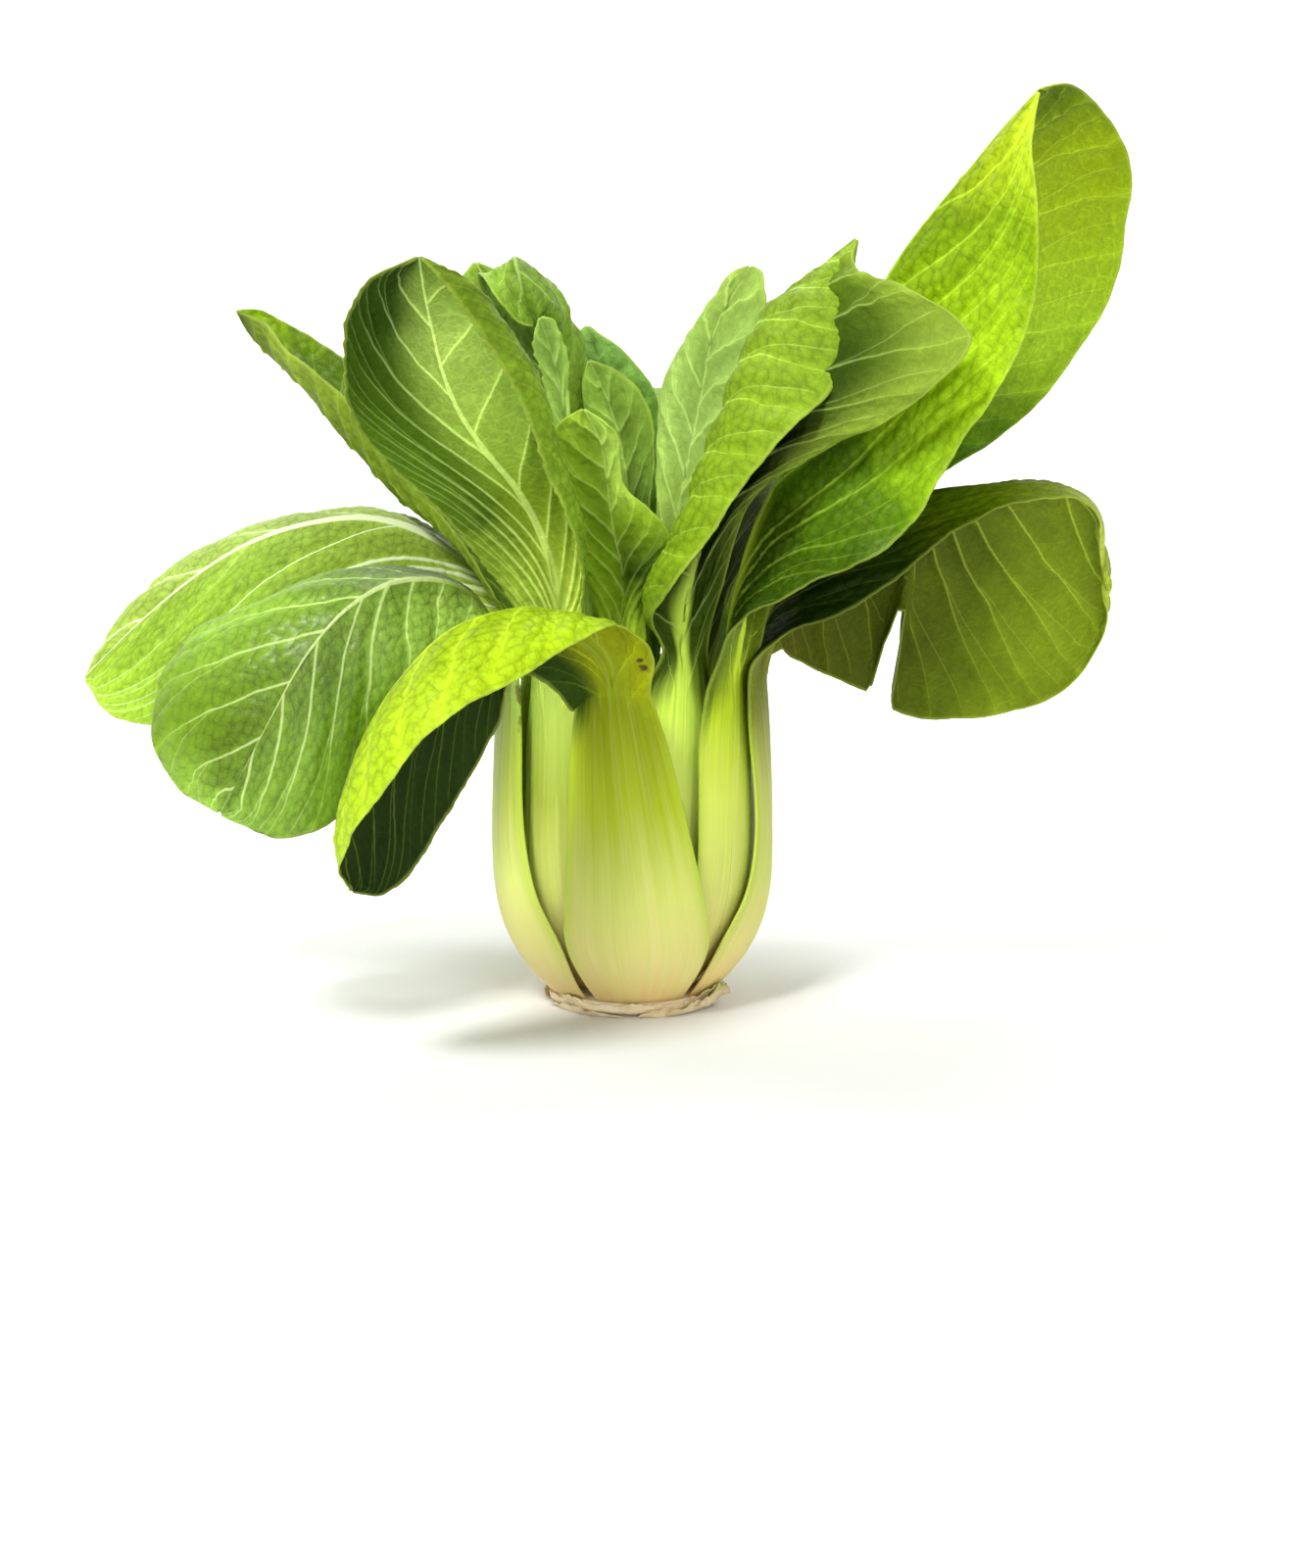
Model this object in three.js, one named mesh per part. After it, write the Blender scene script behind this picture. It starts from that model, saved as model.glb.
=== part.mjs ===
// A head of bok choy standing on its cut stem. Millimetres, +Z up, the origin at the middle of the cut.
// The head is a rosette: a short stem with five steps, and on each step a ring of leaves.
// A leaf is one solid: a thick, channelled stalk that bulges with the head, and a thin blade that arches away from it.
// Its midrib and its two margins are smooth curves in space, and each section is drawn from margin to margin.
import * as THREE from "three";

const DEGREE = Math.PI / 180;

// The belly is the widest part of the head. The head narrows below it to the cut, and a little above it
const BELLY_RADIUS = 45.7;
const BELLY_HEIGHT = 55;
const FOOT_PINCH = 0.52;
const TOP_PINCH = 0.055;

// A stalk runs from its step to the neck, where the blade begins. Its arc is half its width as an angle, seen
// from the middle of its own curve, which is rounder than the head so that the edges of a stalk tuck in
const NECK_HEIGHT = 104;
const STALK_ROUNDNESS = 0.76;
const ARC_SHARES = [0, 0.2, 0.35, 0.5, 0.67, 0.85, 1];
const STALK_ARC = [43, 48, 41, 36, 31, 26, 20];
const AZIMUTH_SHARES = [0, 0.5, 1];
const STALK_SPANS = 9;

// Places along a blade where its bow is given, and how wide its midrib stays raised
const BOW_SHARES = [0, 0.2, 0.5, 0.85, 1];
const RIB_WIDTH = 3;

// Thickness of a blade, of the edge of a stalk, and of the wall and the gap between a step and a foot
const BLADE_THICK = 0.8;
const EDGE_THICK = 1.1;
const STEP_GAP = 0.35;
const STEP_WALL = 1.1;

// Rings of leaves, outermost first. Depth is how far a stalk lies inside the outline of the head at its foot and
// at the belly, foot is the height of its step, thick is its middle, and arc scales the width of its stalks
const RINGS = [
  { foot: 5, depth: [0, 0], thick: 7.6, arc: 1, stalkRows: 9, bladeRows: 13, columns: 5 },
  { foot: 7, depth: [8.2, 7], thick: 6.2, arc: 0.84, stalkRows: 8, bladeRows: 13, columns: 5 },
  { foot: 9, depth: [15.3, 14], thick: 5.2, arc: 0.82, stalkRows: 7, bladeRows: 12, columns: 4 },
  { foot: 11, depth: [21.3, 20], thick: 4.2, arc: 0.7, stalkRows: 6, bladeRows: 10, columns: 3 },
  { foot: 13, depth: [26, 25], thick: 3.4, arc: 0.8, stalkRows: 6, bladeRows: 10, columns: 3 },
];

// Each leaf. Azimuth is the side of the head it grows on, in degrees from +X towards +Y, at its foot, at the belly
// and at its neck. The rib, the tip and the two margins are points [x, y, z] from the neck up: plus is the margin on
// the left when the leaf is seen from outside, tip up. Bow is how far each half bulges towards the upper face, in
// millimetres and at three places from neck to tip. A crest is where a half turns over, between rib and margin.
// Wave is the height of the ripples of the margin. A tear is a notch in one half: where along the leaf it is, its
// share of the half, its half width along the leaf, and how far it slants back towards the neck.
const LEAVES = [
  {
    name: "leaf_front",
    ring: 0,
    azimuth: [276, 270, 263],
    arc: [0.92, 0.96, 1],
    rib: [
      [-7, -50, 115], [-16, -61, 126], [-26, -74, 131], [-37, -85, 131], [-49, -93, 127],
      [-60, -98, 117], [-69, -99, 105], [-77, -97, 88], [-81, -92, 71],
    ],
    plus: [
      [-17, -46, 100], [-21, -53, 106], [-26, -63, 112], [-33, -73, 113], [-38, -68, 99], [-43, -68, 89],
      [-55, -74, 70], [-63, -79, 57], [-71, -82, 51],
    ],
    minus: [
      [6, -48, 108], [7, -53, 115], [5, -59, 122], [-1, -66, 126], [-12, -82, 125], [-27, -104, 118],
      [-51, -117, 104], [-66, -117, 87], [-78, -106, 68],
    ],
    tip: [-79, -87, 53],
    bow: { plus: [2, 6, 4], minus: [2, 4, 2] },
    wave: 1.2,
    waves: 3,
    start: 0.4,
  },
  {
    name: "leaf_left",
    ring: 0,
    azimuth: [204, 195, 200],
    arc: [0.95, 0.95, 1],
    rib: [
      [-43, -17, 116], [-47, -22, 127], [-54, -30, 135], [-63, -39, 138], [-73, -48, 137], [-83, -54, 131],
      [-93, -59, 120], [-104, -64, 101], [-113, -66, 84],
    ],
    plus: [
      [-45, -6, 112], [-51, -3, 126], [-59, -4, 134], [-72, -13, 137], [-92, -22, 137], [-114, -30, 132],
      [-132, -37, 121], [-143, -42, 107], [-144, -48, 92], [-133, -57, 79],
    ],
    minus: [
      [-37, -27, 111], [-45, -32, 118], [-55, -40, 112], [-63, -48, 98], [-72, -54, 84], [-81, -60, 75],
      [-93, -67, 68], [-106, -70, 66],
    ],
    tip: [-120, -66, 72],
    bow: { plus: [3, 5, 3], minus: [3, 6, 3] },
    wave: 1.4,
    waves: 3,
    start: 0,
  },
  {
    name: "leaf_right",
    ring: 0,
    azimuth: [347, 362, 350],
    arc: [0.98, 1, 1.3],
    rib: [
      [44, -4, 115], [47, -5, 128], [55, -6, 141], [67, -7, 151], [80, -8, 159], [94, -11, 164], [109, -14, 166],
      [125, -16, 166], [138, -17, 163], [144, -15, 157], [147, -11, 148],
    ],
    plus: [
      [38, -21, 111], [46, -22, 119], [63, -22, 126], [79, -28, 137], [95, -34, 150], [106, -37, 157],
      [120, -37, 163], [131, -33, 164], [140, -25, 160],
    ],
    minus: [
      [43, 11, 110], [48, 14, 113], [54, 20, 109], [66, 23, 103], [78, 25, 98], [85, 26, 93], [96, 26, 89],
      [112, 25, 89], [131, 22, 93], [145, 17, 102], [151, 11, 112], [152, 3, 124],
    ],
    tip: [149, -6, 139],
    bow: { plus: [2, 3, 2], minus: [4, 9, 6] },
    wave: 1.4,
    waves: 3,
    start: 0.3,
    tear: { half: "minus", at: 0.53, deep: 0.5, wide: 0.022, slant: 0.2 },
  },
  {
    name: "leaf_back_right",
    ring: 0,
    azimuth: [67, 67, 66],
    arc: [0.82, 0.85, 1],
    rib: [[21, 42, 118], [24, 52, 132], [26, 68, 142], [27, 86, 143], [27, 102, 134], [27, 112, 118]],
    plus: [[32, 38, 110], [42, 46, 115], [54, 62, 121], [60, 80, 122], [60, 96, 115], [48, 110, 102]],
    minus: [[12, 45, 112], [7, 54, 122], [3, 70, 130], [2, 88, 130], [4, 104, 120], [12, 114, 106]],
    tip: [27, 116, 98],
    bow: { plus: [3, 6, 4], minus: [3, 6, 4] },
    wave: 1.6,
    waves: 3,
    start: 0.6,
  },
  {
    name: "leaf_back_left",
    ring: 0,
    azimuth: [131, 131, 126],
    arc: [0.86, 0.88, 1],
    rib: [[-27, 39, 118], [-31, 50, 132], [-34, 66, 141], [-36, 84, 141], [-37, 100, 132], [-38, 110, 116]],
    plus: [[-16, 43, 112], [-9, 53, 120], [-5, 70, 127], [-5, 88, 126], [-8, 102, 117], [-20, 112, 104]],
    minus: [[-37, 32, 110], [-50, 44, 115], [-64, 62, 120], [-70, 80, 119], [-69, 96, 111], [-56, 109, 99]],
    tip: [-38, 113, 95],
    bow: { plus: [3, 6, 4], minus: [3, 6, 4] },
    wave: 1.6,
    waves: 3,
    start: 0.1,
  },
  {
    name: "leaf_spoon",
    ring: 1,
    depth: 6.4,
    azimuth: [232, 230, 229],
    arc: [1, 1, 1.4],
    rib: [
      [-22, -31, 120], [-23, -35, 135], [-27, -40, 152], [-33, -46, 165], [-42, -53, 177], [-49, -58, 188],
      [-53, -64, 199], [-55, -73, 211], [-56, -84, 221],
    ],
    plus: [
      [-31, -29, 114], [-34, -35, 126], [-41, -42, 140], [-55, -52, 159], [-68, -60, 173], [-76, -66, 183],
      [-80, -72, 193], [-80, -77, 204], [-74, -85, 217], [-65, -92, 225],
    ],
    minus: [
      [-15, -36, 118], [-14, -40, 130], [-15, -45, 145], [-20, -52, 160], [-24, -59, 173], [-29, -66, 186],
      [-34, -73, 197], [-39, -81, 207], [-46, -90, 218],
    ],
    minusCrest: [
      [-17, -34, 118], [-13, -37, 132], [-13, -42, 148], [-16, -48, 165], [-20, -55, 179], [-24, -62, 192],
      [-29, -69, 203], [-35, -77, 213], [-43, -87, 223],
    ],
    tip: [-56, -95, 229],
    bow: { plus: [-2, 3, 4], minus: [0, 0, 0] },
    wave: 1.0,
    waves: 3,
    start: 0.2,
  },
  {
    name: "leaf_tall_right",
    ring: 1,
    depth: 5,
    azimuth: [323, 322, 329],
    arc: [0.86, 0.86, 1.58],
    rib: [
      [33, -25, 118], [35, -31, 138], [39, -36, 154], [44, -41, 166], [52, -45, 179], [60, -47, 192],
      [67, -48, 207], [72, -50, 220], [79, -55, 233], [87, -61, 244], [96, -66, 255], [104, -70, 265],
    ],
    plus: [
      [27, -31, 113], [30, -38, 121], [36, -47, 129], [43, -54, 133], [56, -64, 141], [65, -70, 144],
      [77, -74, 153], [88, -76, 170], [94, -77, 180], [100, -79, 189], [108, -81, 203], [112, -82, 219],
      [113, -82, 235], [112, -81, 250], [111, -79, 259], [112, -76, 268],
    ],
    minus: [
      [40, -18, 115], [46, -9, 137], [62, 4, 154], [85, 10, 163], [103, 8, 172], [121, 2, 185], [135, -6, 203],
      [147, -16, 224], [149, -26, 245], [146, -38, 263], [133, -54, 275], [122, -66, 278],
    ],
    tip: [114, -73, 276],
    bow: { plus: [1, 2, 3], minus: [4, 10, 6] },
    wave: 1.2,
    waves: 4,
    start: 0.5,
  },
  {
    name: "leaf_far_left",
    ring: 1,
    azimuth: [163, 163, 160],
    rib: [
      [-38, 16, 116], [-46, 22, 130], [-57, 23, 141], [-69, 18, 150], [-84, 12, 155], [-102, 5, 154],
      [-123, 0, 147], [-144, -5, 133], [-162, -8, 117],
    ],
    plus: [
      [-36, 24, 114], [-46, 32, 130], [-60, 36, 140], [-81, 42, 147], [-111, 44, 142], [-135, 39, 135],
      [-156, 28, 124], [-170, 13, 112],
    ],
    minus: [
      [-38, 6, 112], [-48, 4, 116], [-62, 0, 112], [-78, -6, 108], [-97, -14, 105], [-118, -19, 101],
      [-136, -22, 95], [-151, -22, 93], [-166, -18, 98],
    ],
    tip: [-173, -10, 106],
    bow: { plus: [3, 8, 6], minus: [3, 7, 4] },
    wave: 1.2,
    waves: 3,
    start: 0.8,
  },
  {
    name: "leaf_back",
    ring: 1,
    azimuth: [96, 96, 94],
    arc: [0.96, 1, 1.1],
    rib: [[-3, 40, 126], [-3, 50, 150], [-2, 64, 174], [0, 84, 192], [2, 104, 199], [3, 117, 194]],
    plus: [[9, 38, 120], [24, 48, 142], [36, 64, 166], [42, 86, 182], [38, 106, 188], [22, 122, 187]],
    minus: [[-15, 40, 122], [-30, 50, 142], [-40, 66, 164], [-42, 88, 180], [-34, 108, 186], [-16, 122, 186]],
    tip: [3, 126, 184],
    bow: { plus: [-2, 3, 4], minus: [-2, 3, 4] },
    wave: 1.6,
    waves: 3,
    start: 0.35,
  },
  {
    name: "leaf_far_right",
    ring: 1,
    azimuth: [31, 31, 28],
    arc: [0.96, 1, 1.1],
    rib: [[37, 22, 118], [46, 32, 134], [60, 44, 146], [77, 54, 150], [93, 61, 146], [106, 65, 138]],
    plus: [[43, 16, 114], [54, 22, 122], [70, 30, 129], [88, 38, 133], [104, 48, 133], [114, 58, 131]],
    minus: [[28, 30, 114], [32, 46, 130], [44, 62, 140], [62, 76, 143], [84, 80, 138], [102, 76, 131]],
    tip: [113, 68, 129],
    bow: { plus: [0, 4, 3], minus: [0, 4, 3] },
    wave: 1.4,
    waves: 3,
    start: 0.7,
  },
  {
    name: "leaf_folded",
    ring: 2,
    depth: 12,
    azimuth: [290, 294, 300],
    arc: [1, 1.15, 1.9],
    rib: [[16, -27, 118], [20, -32, 142], [27, -36, 165], [33, -40, 186], [41, -44, 204], [52, -47, 222]],
    plus: [
      [10, -33, 116], [7, -41, 126], [13, -54, 138], [23, -61, 153], [34, -66, 169], [48, -69, 185],
      [57, -69, 194], [62, -67, 204], [63, -64, 213], [64, -57, 225],
    ],
    plusCrest: [
      [8, -29, 116], [4, -37, 130], [8, -44, 143], [14, -48, 155], [20, -52, 171], [27, -55, 189], [32, -57, 203],
      [40, -57, 218], [53, -54, 228],
    ],
    minus: [
      [24, -27, 118], [28, -35, 138], [36, -46, 162], [53, -60, 175], [64, -70, 182], [77, -82, 189],
      [86, -89, 197], [92, -92, 204], [93, -92, 208], [89, -88, 214], [82, -83, 219], [75, -77, 223],
      [70, -71, 225], [66, -65, 227], [64, -59, 232],
    ],
    tip: [66, -54, 238],
    bow: { plus: [0, 0, 0], minus: [-1, -4, -3] },
    wave: 1.0,
    waves: 3,
    start: 0.15,
  },
  {
    name: "leaf_trough_left",
    ring: 2,
    azimuth: [192, 192, 186],
    rib: [
      [-32, 0, 116], [-39, 6, 128], [-48, 11, 140], [-58, 14, 150], [-69, 17, 157], [-79, 21, 165], [-88, 25, 175],
      [-97, 29, 184], [-105, 33, 194], [-113, 37, 202], [-121, 41, 209], [-128, 44, 216],
    ],
    plus: [
      [-28, 12, 116], [-34, 22, 130], [-42, 30, 148], [-52, 40, 168], [-66, 50, 186], [-85, 57, 201],
      [-102, 61, 210], [-116, 60, 219], [-125, 55, 224],
    ],
    minus: [
      [-36, -8, 118], [-44, -4, 132], [-52, 2, 146], [-61, 5, 157], [-71, 8, 168], [-81, 11, 180], [-93, 15, 193],
      [-103, 20, 203], [-112, 26, 209], [-121, 34, 218],
    ],
    tip: [-133, 47, 224],
    bow: { plus: [-3, -5, -3], minus: [-1, -2, -1] },
    wave: 0.8,
    waves: 4,
    start: 0.55,
  },
  {
    name: "leaf_inner_back_left",
    ring: 2,
    azimuth: [128, 128, 126],
    rib: [[-18, 28, 128], [-24, 32, 155], [-31, 36, 182], [-39, 40, 206], [-46, 45, 226]],
    plus: [[-5, 31, 128], [-2, 37, 156], [-6, 43, 184], [-16, 49, 208], [-34, 53, 229]],
    minus: [[-28, 22, 128], [-40, 25, 154], [-52, 29, 180], [-61, 35, 204], [-62, 44, 227]],
    tip: [-53, 51, 240],
    bow: { plus: [-2, 0, 2], minus: [-2, 0, 2] },
    wave: 1.2,
    waves: 3,
    start: 0.9,
  },
  {
    name: "leaf_inner_back_right",
    ring: 2,
    azimuth: [42, 41, 42],
    arc: [0.8, 1, 1],
    rib: [[24, 23, 128], [29, 30, 154], [36, 39, 178], [45, 50, 194], [54, 64, 202]],
    plus: [[31, 13, 126], [41, 18, 150], [53, 26, 172], [65, 39, 186], [72, 58, 195]],
    minus: [[13, 30, 126], [14, 42, 152], [20, 54, 176], [31, 66, 191], [46, 79, 197]],
    tip: [61, 78, 201],
    bow: { plus: [-2, 2, 3], minus: [-2, 2, 3] },
    wave: 1.2,
    waves: 3,
    start: 0.25,
  },
  {
    name: "leaf_heart_left",
    ring: 3,
    azimuth: [246, 246, 250],
    rib: [[-4, -21, 120], [-2, -21, 132], [-3, -22, 143], [-5, -23, 152], [-7, -26, 167], [-9, -29, 180]],
    plus: [[-12, -20, 116], [-12, -21, 129], [-16, -23, 143], [-21, -26, 160], [-24, -29, 176], [-21, -32, 186]],
    minus: [
      [4, -22, 118], [4, -24, 128], [8, -27, 140], [12, -30, 153], [6, -29, 160], [-1, -27, 166], [-3, -28, 174],
      [-4, -31, 182],
    ],
    tip: [-14, -33, 190],
    bow: { plus: [-2, -1, 0], minus: [-2, -1, 0] },
    wave: 0.8,
    waves: 2,
    start: 0.5,
  },
  {
    name: "leaf_heart_right",
    ring: 3,
    azimuth: [322, 322, 318],
    rib: [[16, -19, 126], [14, -22, 147], [16, -24, 165], [19, -25, 180], [22, -26, 195], [25, -29, 211]],
    plus: [
      [9, -17, 126], [8, -18, 150], [7, -18, 168], [8, -19, 183], [10, -20, 197], [15, -22, 209], [23, -27, 222],
      [28, -30, 228], [32, -32, 231],
    ],
    minus: [
      [22, -16, 126], [24, -23, 150], [29, -29, 169], [34, -34, 189], [39, -38, 206], [41, -39, 219],
      [40, -38, 225], [39, -36, 230],
    ],
    tip: [36, -34, 232],
    bow: { plus: [-2, -2, -2], minus: [-2, -2, -2] },
    wave: 0.8,
    waves: 2,
    start: 0.1,
  },
  {
    name: "leaf_heart_back",
    ring: 3,
    azimuth: [76, 76, 78],
    rib: [[3, 21, 130], [1, 19, 152], [-3, 16, 174], [-7, 12, 193], [-11, 9, 208]],
    plus: [
      [12, 19, 130], [14, 18, 154], [12, 15, 174], [9, 11, 188], [7, 8, 197], [1, 7, 205], [-4, 6, 210],
      [-10, 7, 214],
    ],
    minus: [[-5, 20, 130], [-12, 18, 155], [-16, 14, 177], [-18, 11, 193], [-19, 9, 205], [-18, 8, 213]],
    tip: [-14, 8, 217],
    bow: { plus: [-2, -1, 1], minus: [-2, -1, 1] },
    wave: 1.0,
    waves: 2,
    start: 0.8,
  },
  {
    name: "leaf_heart_far",
    ring: 3,
    azimuth: [184, 184, 190],
    rib: [
      [-22, -5, 126], [-21, -4, 147], [-22, -2, 171], [-24, -1, 193], [-28, -2, 212], [-31, -6, 226],
      [-34, -12, 234], [-35, -20, 235], [-33, -27, 228], [-31, -27, 221],
    ],
    plus: [
      [-24, 3, 122], [-27, 5, 145], [-33, 6, 170], [-39, 5, 193], [-44, 2, 211], [-46, -6, 224], [-46, -16, 229],
      [-43, -24, 227], [-38, -29, 220], [-33, -29, 215],
    ],
    minus: [
      [-18, -10, 122], [-17, -9, 147], [-17, -10, 168], [-19, -12, 183], [-20, -14, 195], [-21, -18, 204],
      [-23, -21, 210], [-26, -24, 212],
    ],
    minusCrest: [
      [-18, -7, 122], [-16, -7, 147], [-14, -7, 171], [-14, -7, 193], [-15, -8, 210], [-18, -12, 216],
      [-20, -17, 221], [-25, -22, 226], [-27, -28, 225], [-28, -30, 219],
    ],
    tip: [-28, -28, 214],
    bow: { plus: [-1, -1, 0], minus: [-1, -1, 0] },
    wave: 1.0,
    waves: 2,
    start: 0.3,
  },
  {
    name: "leaf_heart",
    ring: 4,
    azimuth: [288, 288, 280],
    arc: [0.9, 0.9, 1],
    rib: [[2, -16, 125], [1, -15, 147], [-1, -14, 165], [-4, -14, 183], [-9, -15, 197]],
    plus: [[-5, -15, 125], [-10, -14, 147], [-13, -14, 171], [-14, -15, 186], [-15, -16, 198]],
    minus: [
      [4, -17, 128], [6, -16, 150], [7, -15, 164], [8, -15, 174], [7, -15, 184], [5, -15, 191], [2, -15, 196],
      [-3, -15, 200], [-8, -16, 203],
    ],
    tip: [-13, -17, 205],
    bow: { plus: [-1, -1, 0], minus: [1, 2, 1] },
    wave: 0.8,
    waves: 2,
    start: 0.6,
  },
  {
    name: "leaf_heart_small",
    ring: 4,
    azimuth: [224, 224, 230],
    arc: [0.85, 0.85, 1],
    rib: [[-13, -15, 123], [-14, -16, 147], [-17, -18, 171], [-20, -20, 189], [-23, -25, 204]],
    plus: [[-16, -13, 123], [-19, -14, 147], [-22, -16, 171], [-25, -18, 188], [-27, -24, 201], [-29, -29, 209]],
    minus: [
      [-11, -17, 123], [-11, -19, 147], [-14, -20, 168], [-17, -21, 183], [-19, -22, 195], [-19, -27, 206],
      [-21, -30, 212], [-23, -32, 216],
    ],
    tip: [-27, -33, 217],
    bow: { plus: [-1, -1, 0], minus: [-1, -1, 0] },
    wave: 0.6,
    waves: 2,
    start: 0.2,
  },
];

const clamp01 = (x) => Math.min(1, Math.max(0, x));
const mix = (a, b, t) => a + (b - a) * t;
const smooth = (a, b, x) => {
  const t = clamp01((x - a) / (b - a));
  return t * t * (3 - 2 * t);
};

// Share of the belly's radius that the head has at a height
function bulge(z) {
  const below = Math.max(0, 1 - z / BELLY_HEIGHT);
  const above = Math.max(0, z / BELLY_HEIGHT - 1);
  return 1 - FOOT_PINCH * below ** 3 - TOP_PINCH * above ** 1.5;
}

// A smooth curve of numbers through the values at the knots, held level outside them
function curveAt(knots, values, x) {
  const last = knots.length - 1;
  if (x <= knots[0]) return values[0];
  if (x >= knots[last]) return values[last];
  let i = 0;
  while (x > knots[i + 1]) i++;
  const slope = (k) => (values[k + 1] - values[k]) / (knots[k + 1] - knots[k]);
  const tangent = (k) => {
    if (k === 0) return slope(0);
    if (k === last) return slope(last - 1);
    const before = knots[k] - knots[k - 1];
    const after = knots[k + 1] - knots[k];
    return (slope(k) * before + slope(k - 1) * after) / (before + after);
  };
  const h = knots[i + 1] - knots[i];
  const t = (x - knots[i]) / h;
  const t2 = t * t;
  const t3 = t2 * t;
  return (
    (2 * t3 - 3 * t2 + 1) * values[i] +
    (t3 - 2 * t2 + t) * h * tangent(i) +
    (3 * t2 - 2 * t3) * values[i + 1] +
    (t3 - t2) * h * tangent(i + 1)
  );
}

// A smooth curve in space: its stalk below the neck, then its own points. Shares run from 0 at the neck to 1
function spaceCurve(stalk, points) {
  const all = [...stalk, ...points];
  const knots = [0];
  for (let i = 1; i < all.length; i++) {
    const [a, b] = [all[i - 1], all[i]];
    knots.push(knots[i - 1] + Math.hypot(b[0] - a[0], b[1] - a[1], b[2] - a[2]));
  }
  const neck = knots[stalk.length - 1];
  const length = knots[knots.length - 1];
  const columns = [0, 1, 2].map((k) => all.map((p) => p[k]));
  return (share) => {
    const distance = mix(neck, length, share);
    return new THREE.Vector3(...columns.map((values) => curveAt(knots, values, distance)));
  };
}

// A point on the outer face of a stalk: at a height, and across from -1 to 1
function stalkPoint(leaf, ring, z, across) {
  const share = (z - ring.foot) / (NECK_HEIGHT - ring.foot);
  const depth = mix(ring.depth[0], leaf.depth ?? ring.depth[1], smooth(0, 0.5, share));
  const radius = BELLY_RADIUS * bulge(z) - depth;
  const own = STALK_ROUNDNESS * radius;
  const heading = curveAt(AZIMUTH_SHARES, leaf.azimuth, share) * DEGREE;
  const wider = leaf.arc ? curveAt(AZIMUTH_SHARES, leaf.arc, share) : 1;
  const arc = curveAt(ARC_SHARES, STALK_ARC, share) * ring.arc * wider * DEGREE;
  const turn = heading - across * arc;
  return [
    (radius - own) * Math.cos(heading) + own * Math.cos(turn),
    (radius - own) * Math.sin(heading) + own * Math.sin(turn),
    z,
  ];
}

// Thickness of a leaf: a stalk is a crescent, and a blade is a sheet with a rib that thins towards the tip
function thicknessAt(ring, row, reach, v) {
  const middle = ring.thick * mix(1, 0.62, clamp01(row.stalk));
  const crescent = EDGE_THICK + (middle - EDGE_THICK) * (1 - v * v) ** 0.85;
  const share = row.blade;
  const ribWidth = mix(reach * 0.6, RIB_WIDTH, smooth(0, 0.35, share));
  const rising = Math.exp(-(((v * reach) / ribWidth) ** 2));
  const sheet = BLADE_THICK + (ring.thick * 0.55 - BLADE_THICK) * (1 - share) ** 2.4 * rising;
  return mix(crescent, sheet, smooth(0, 0.15, share));
}

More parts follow.
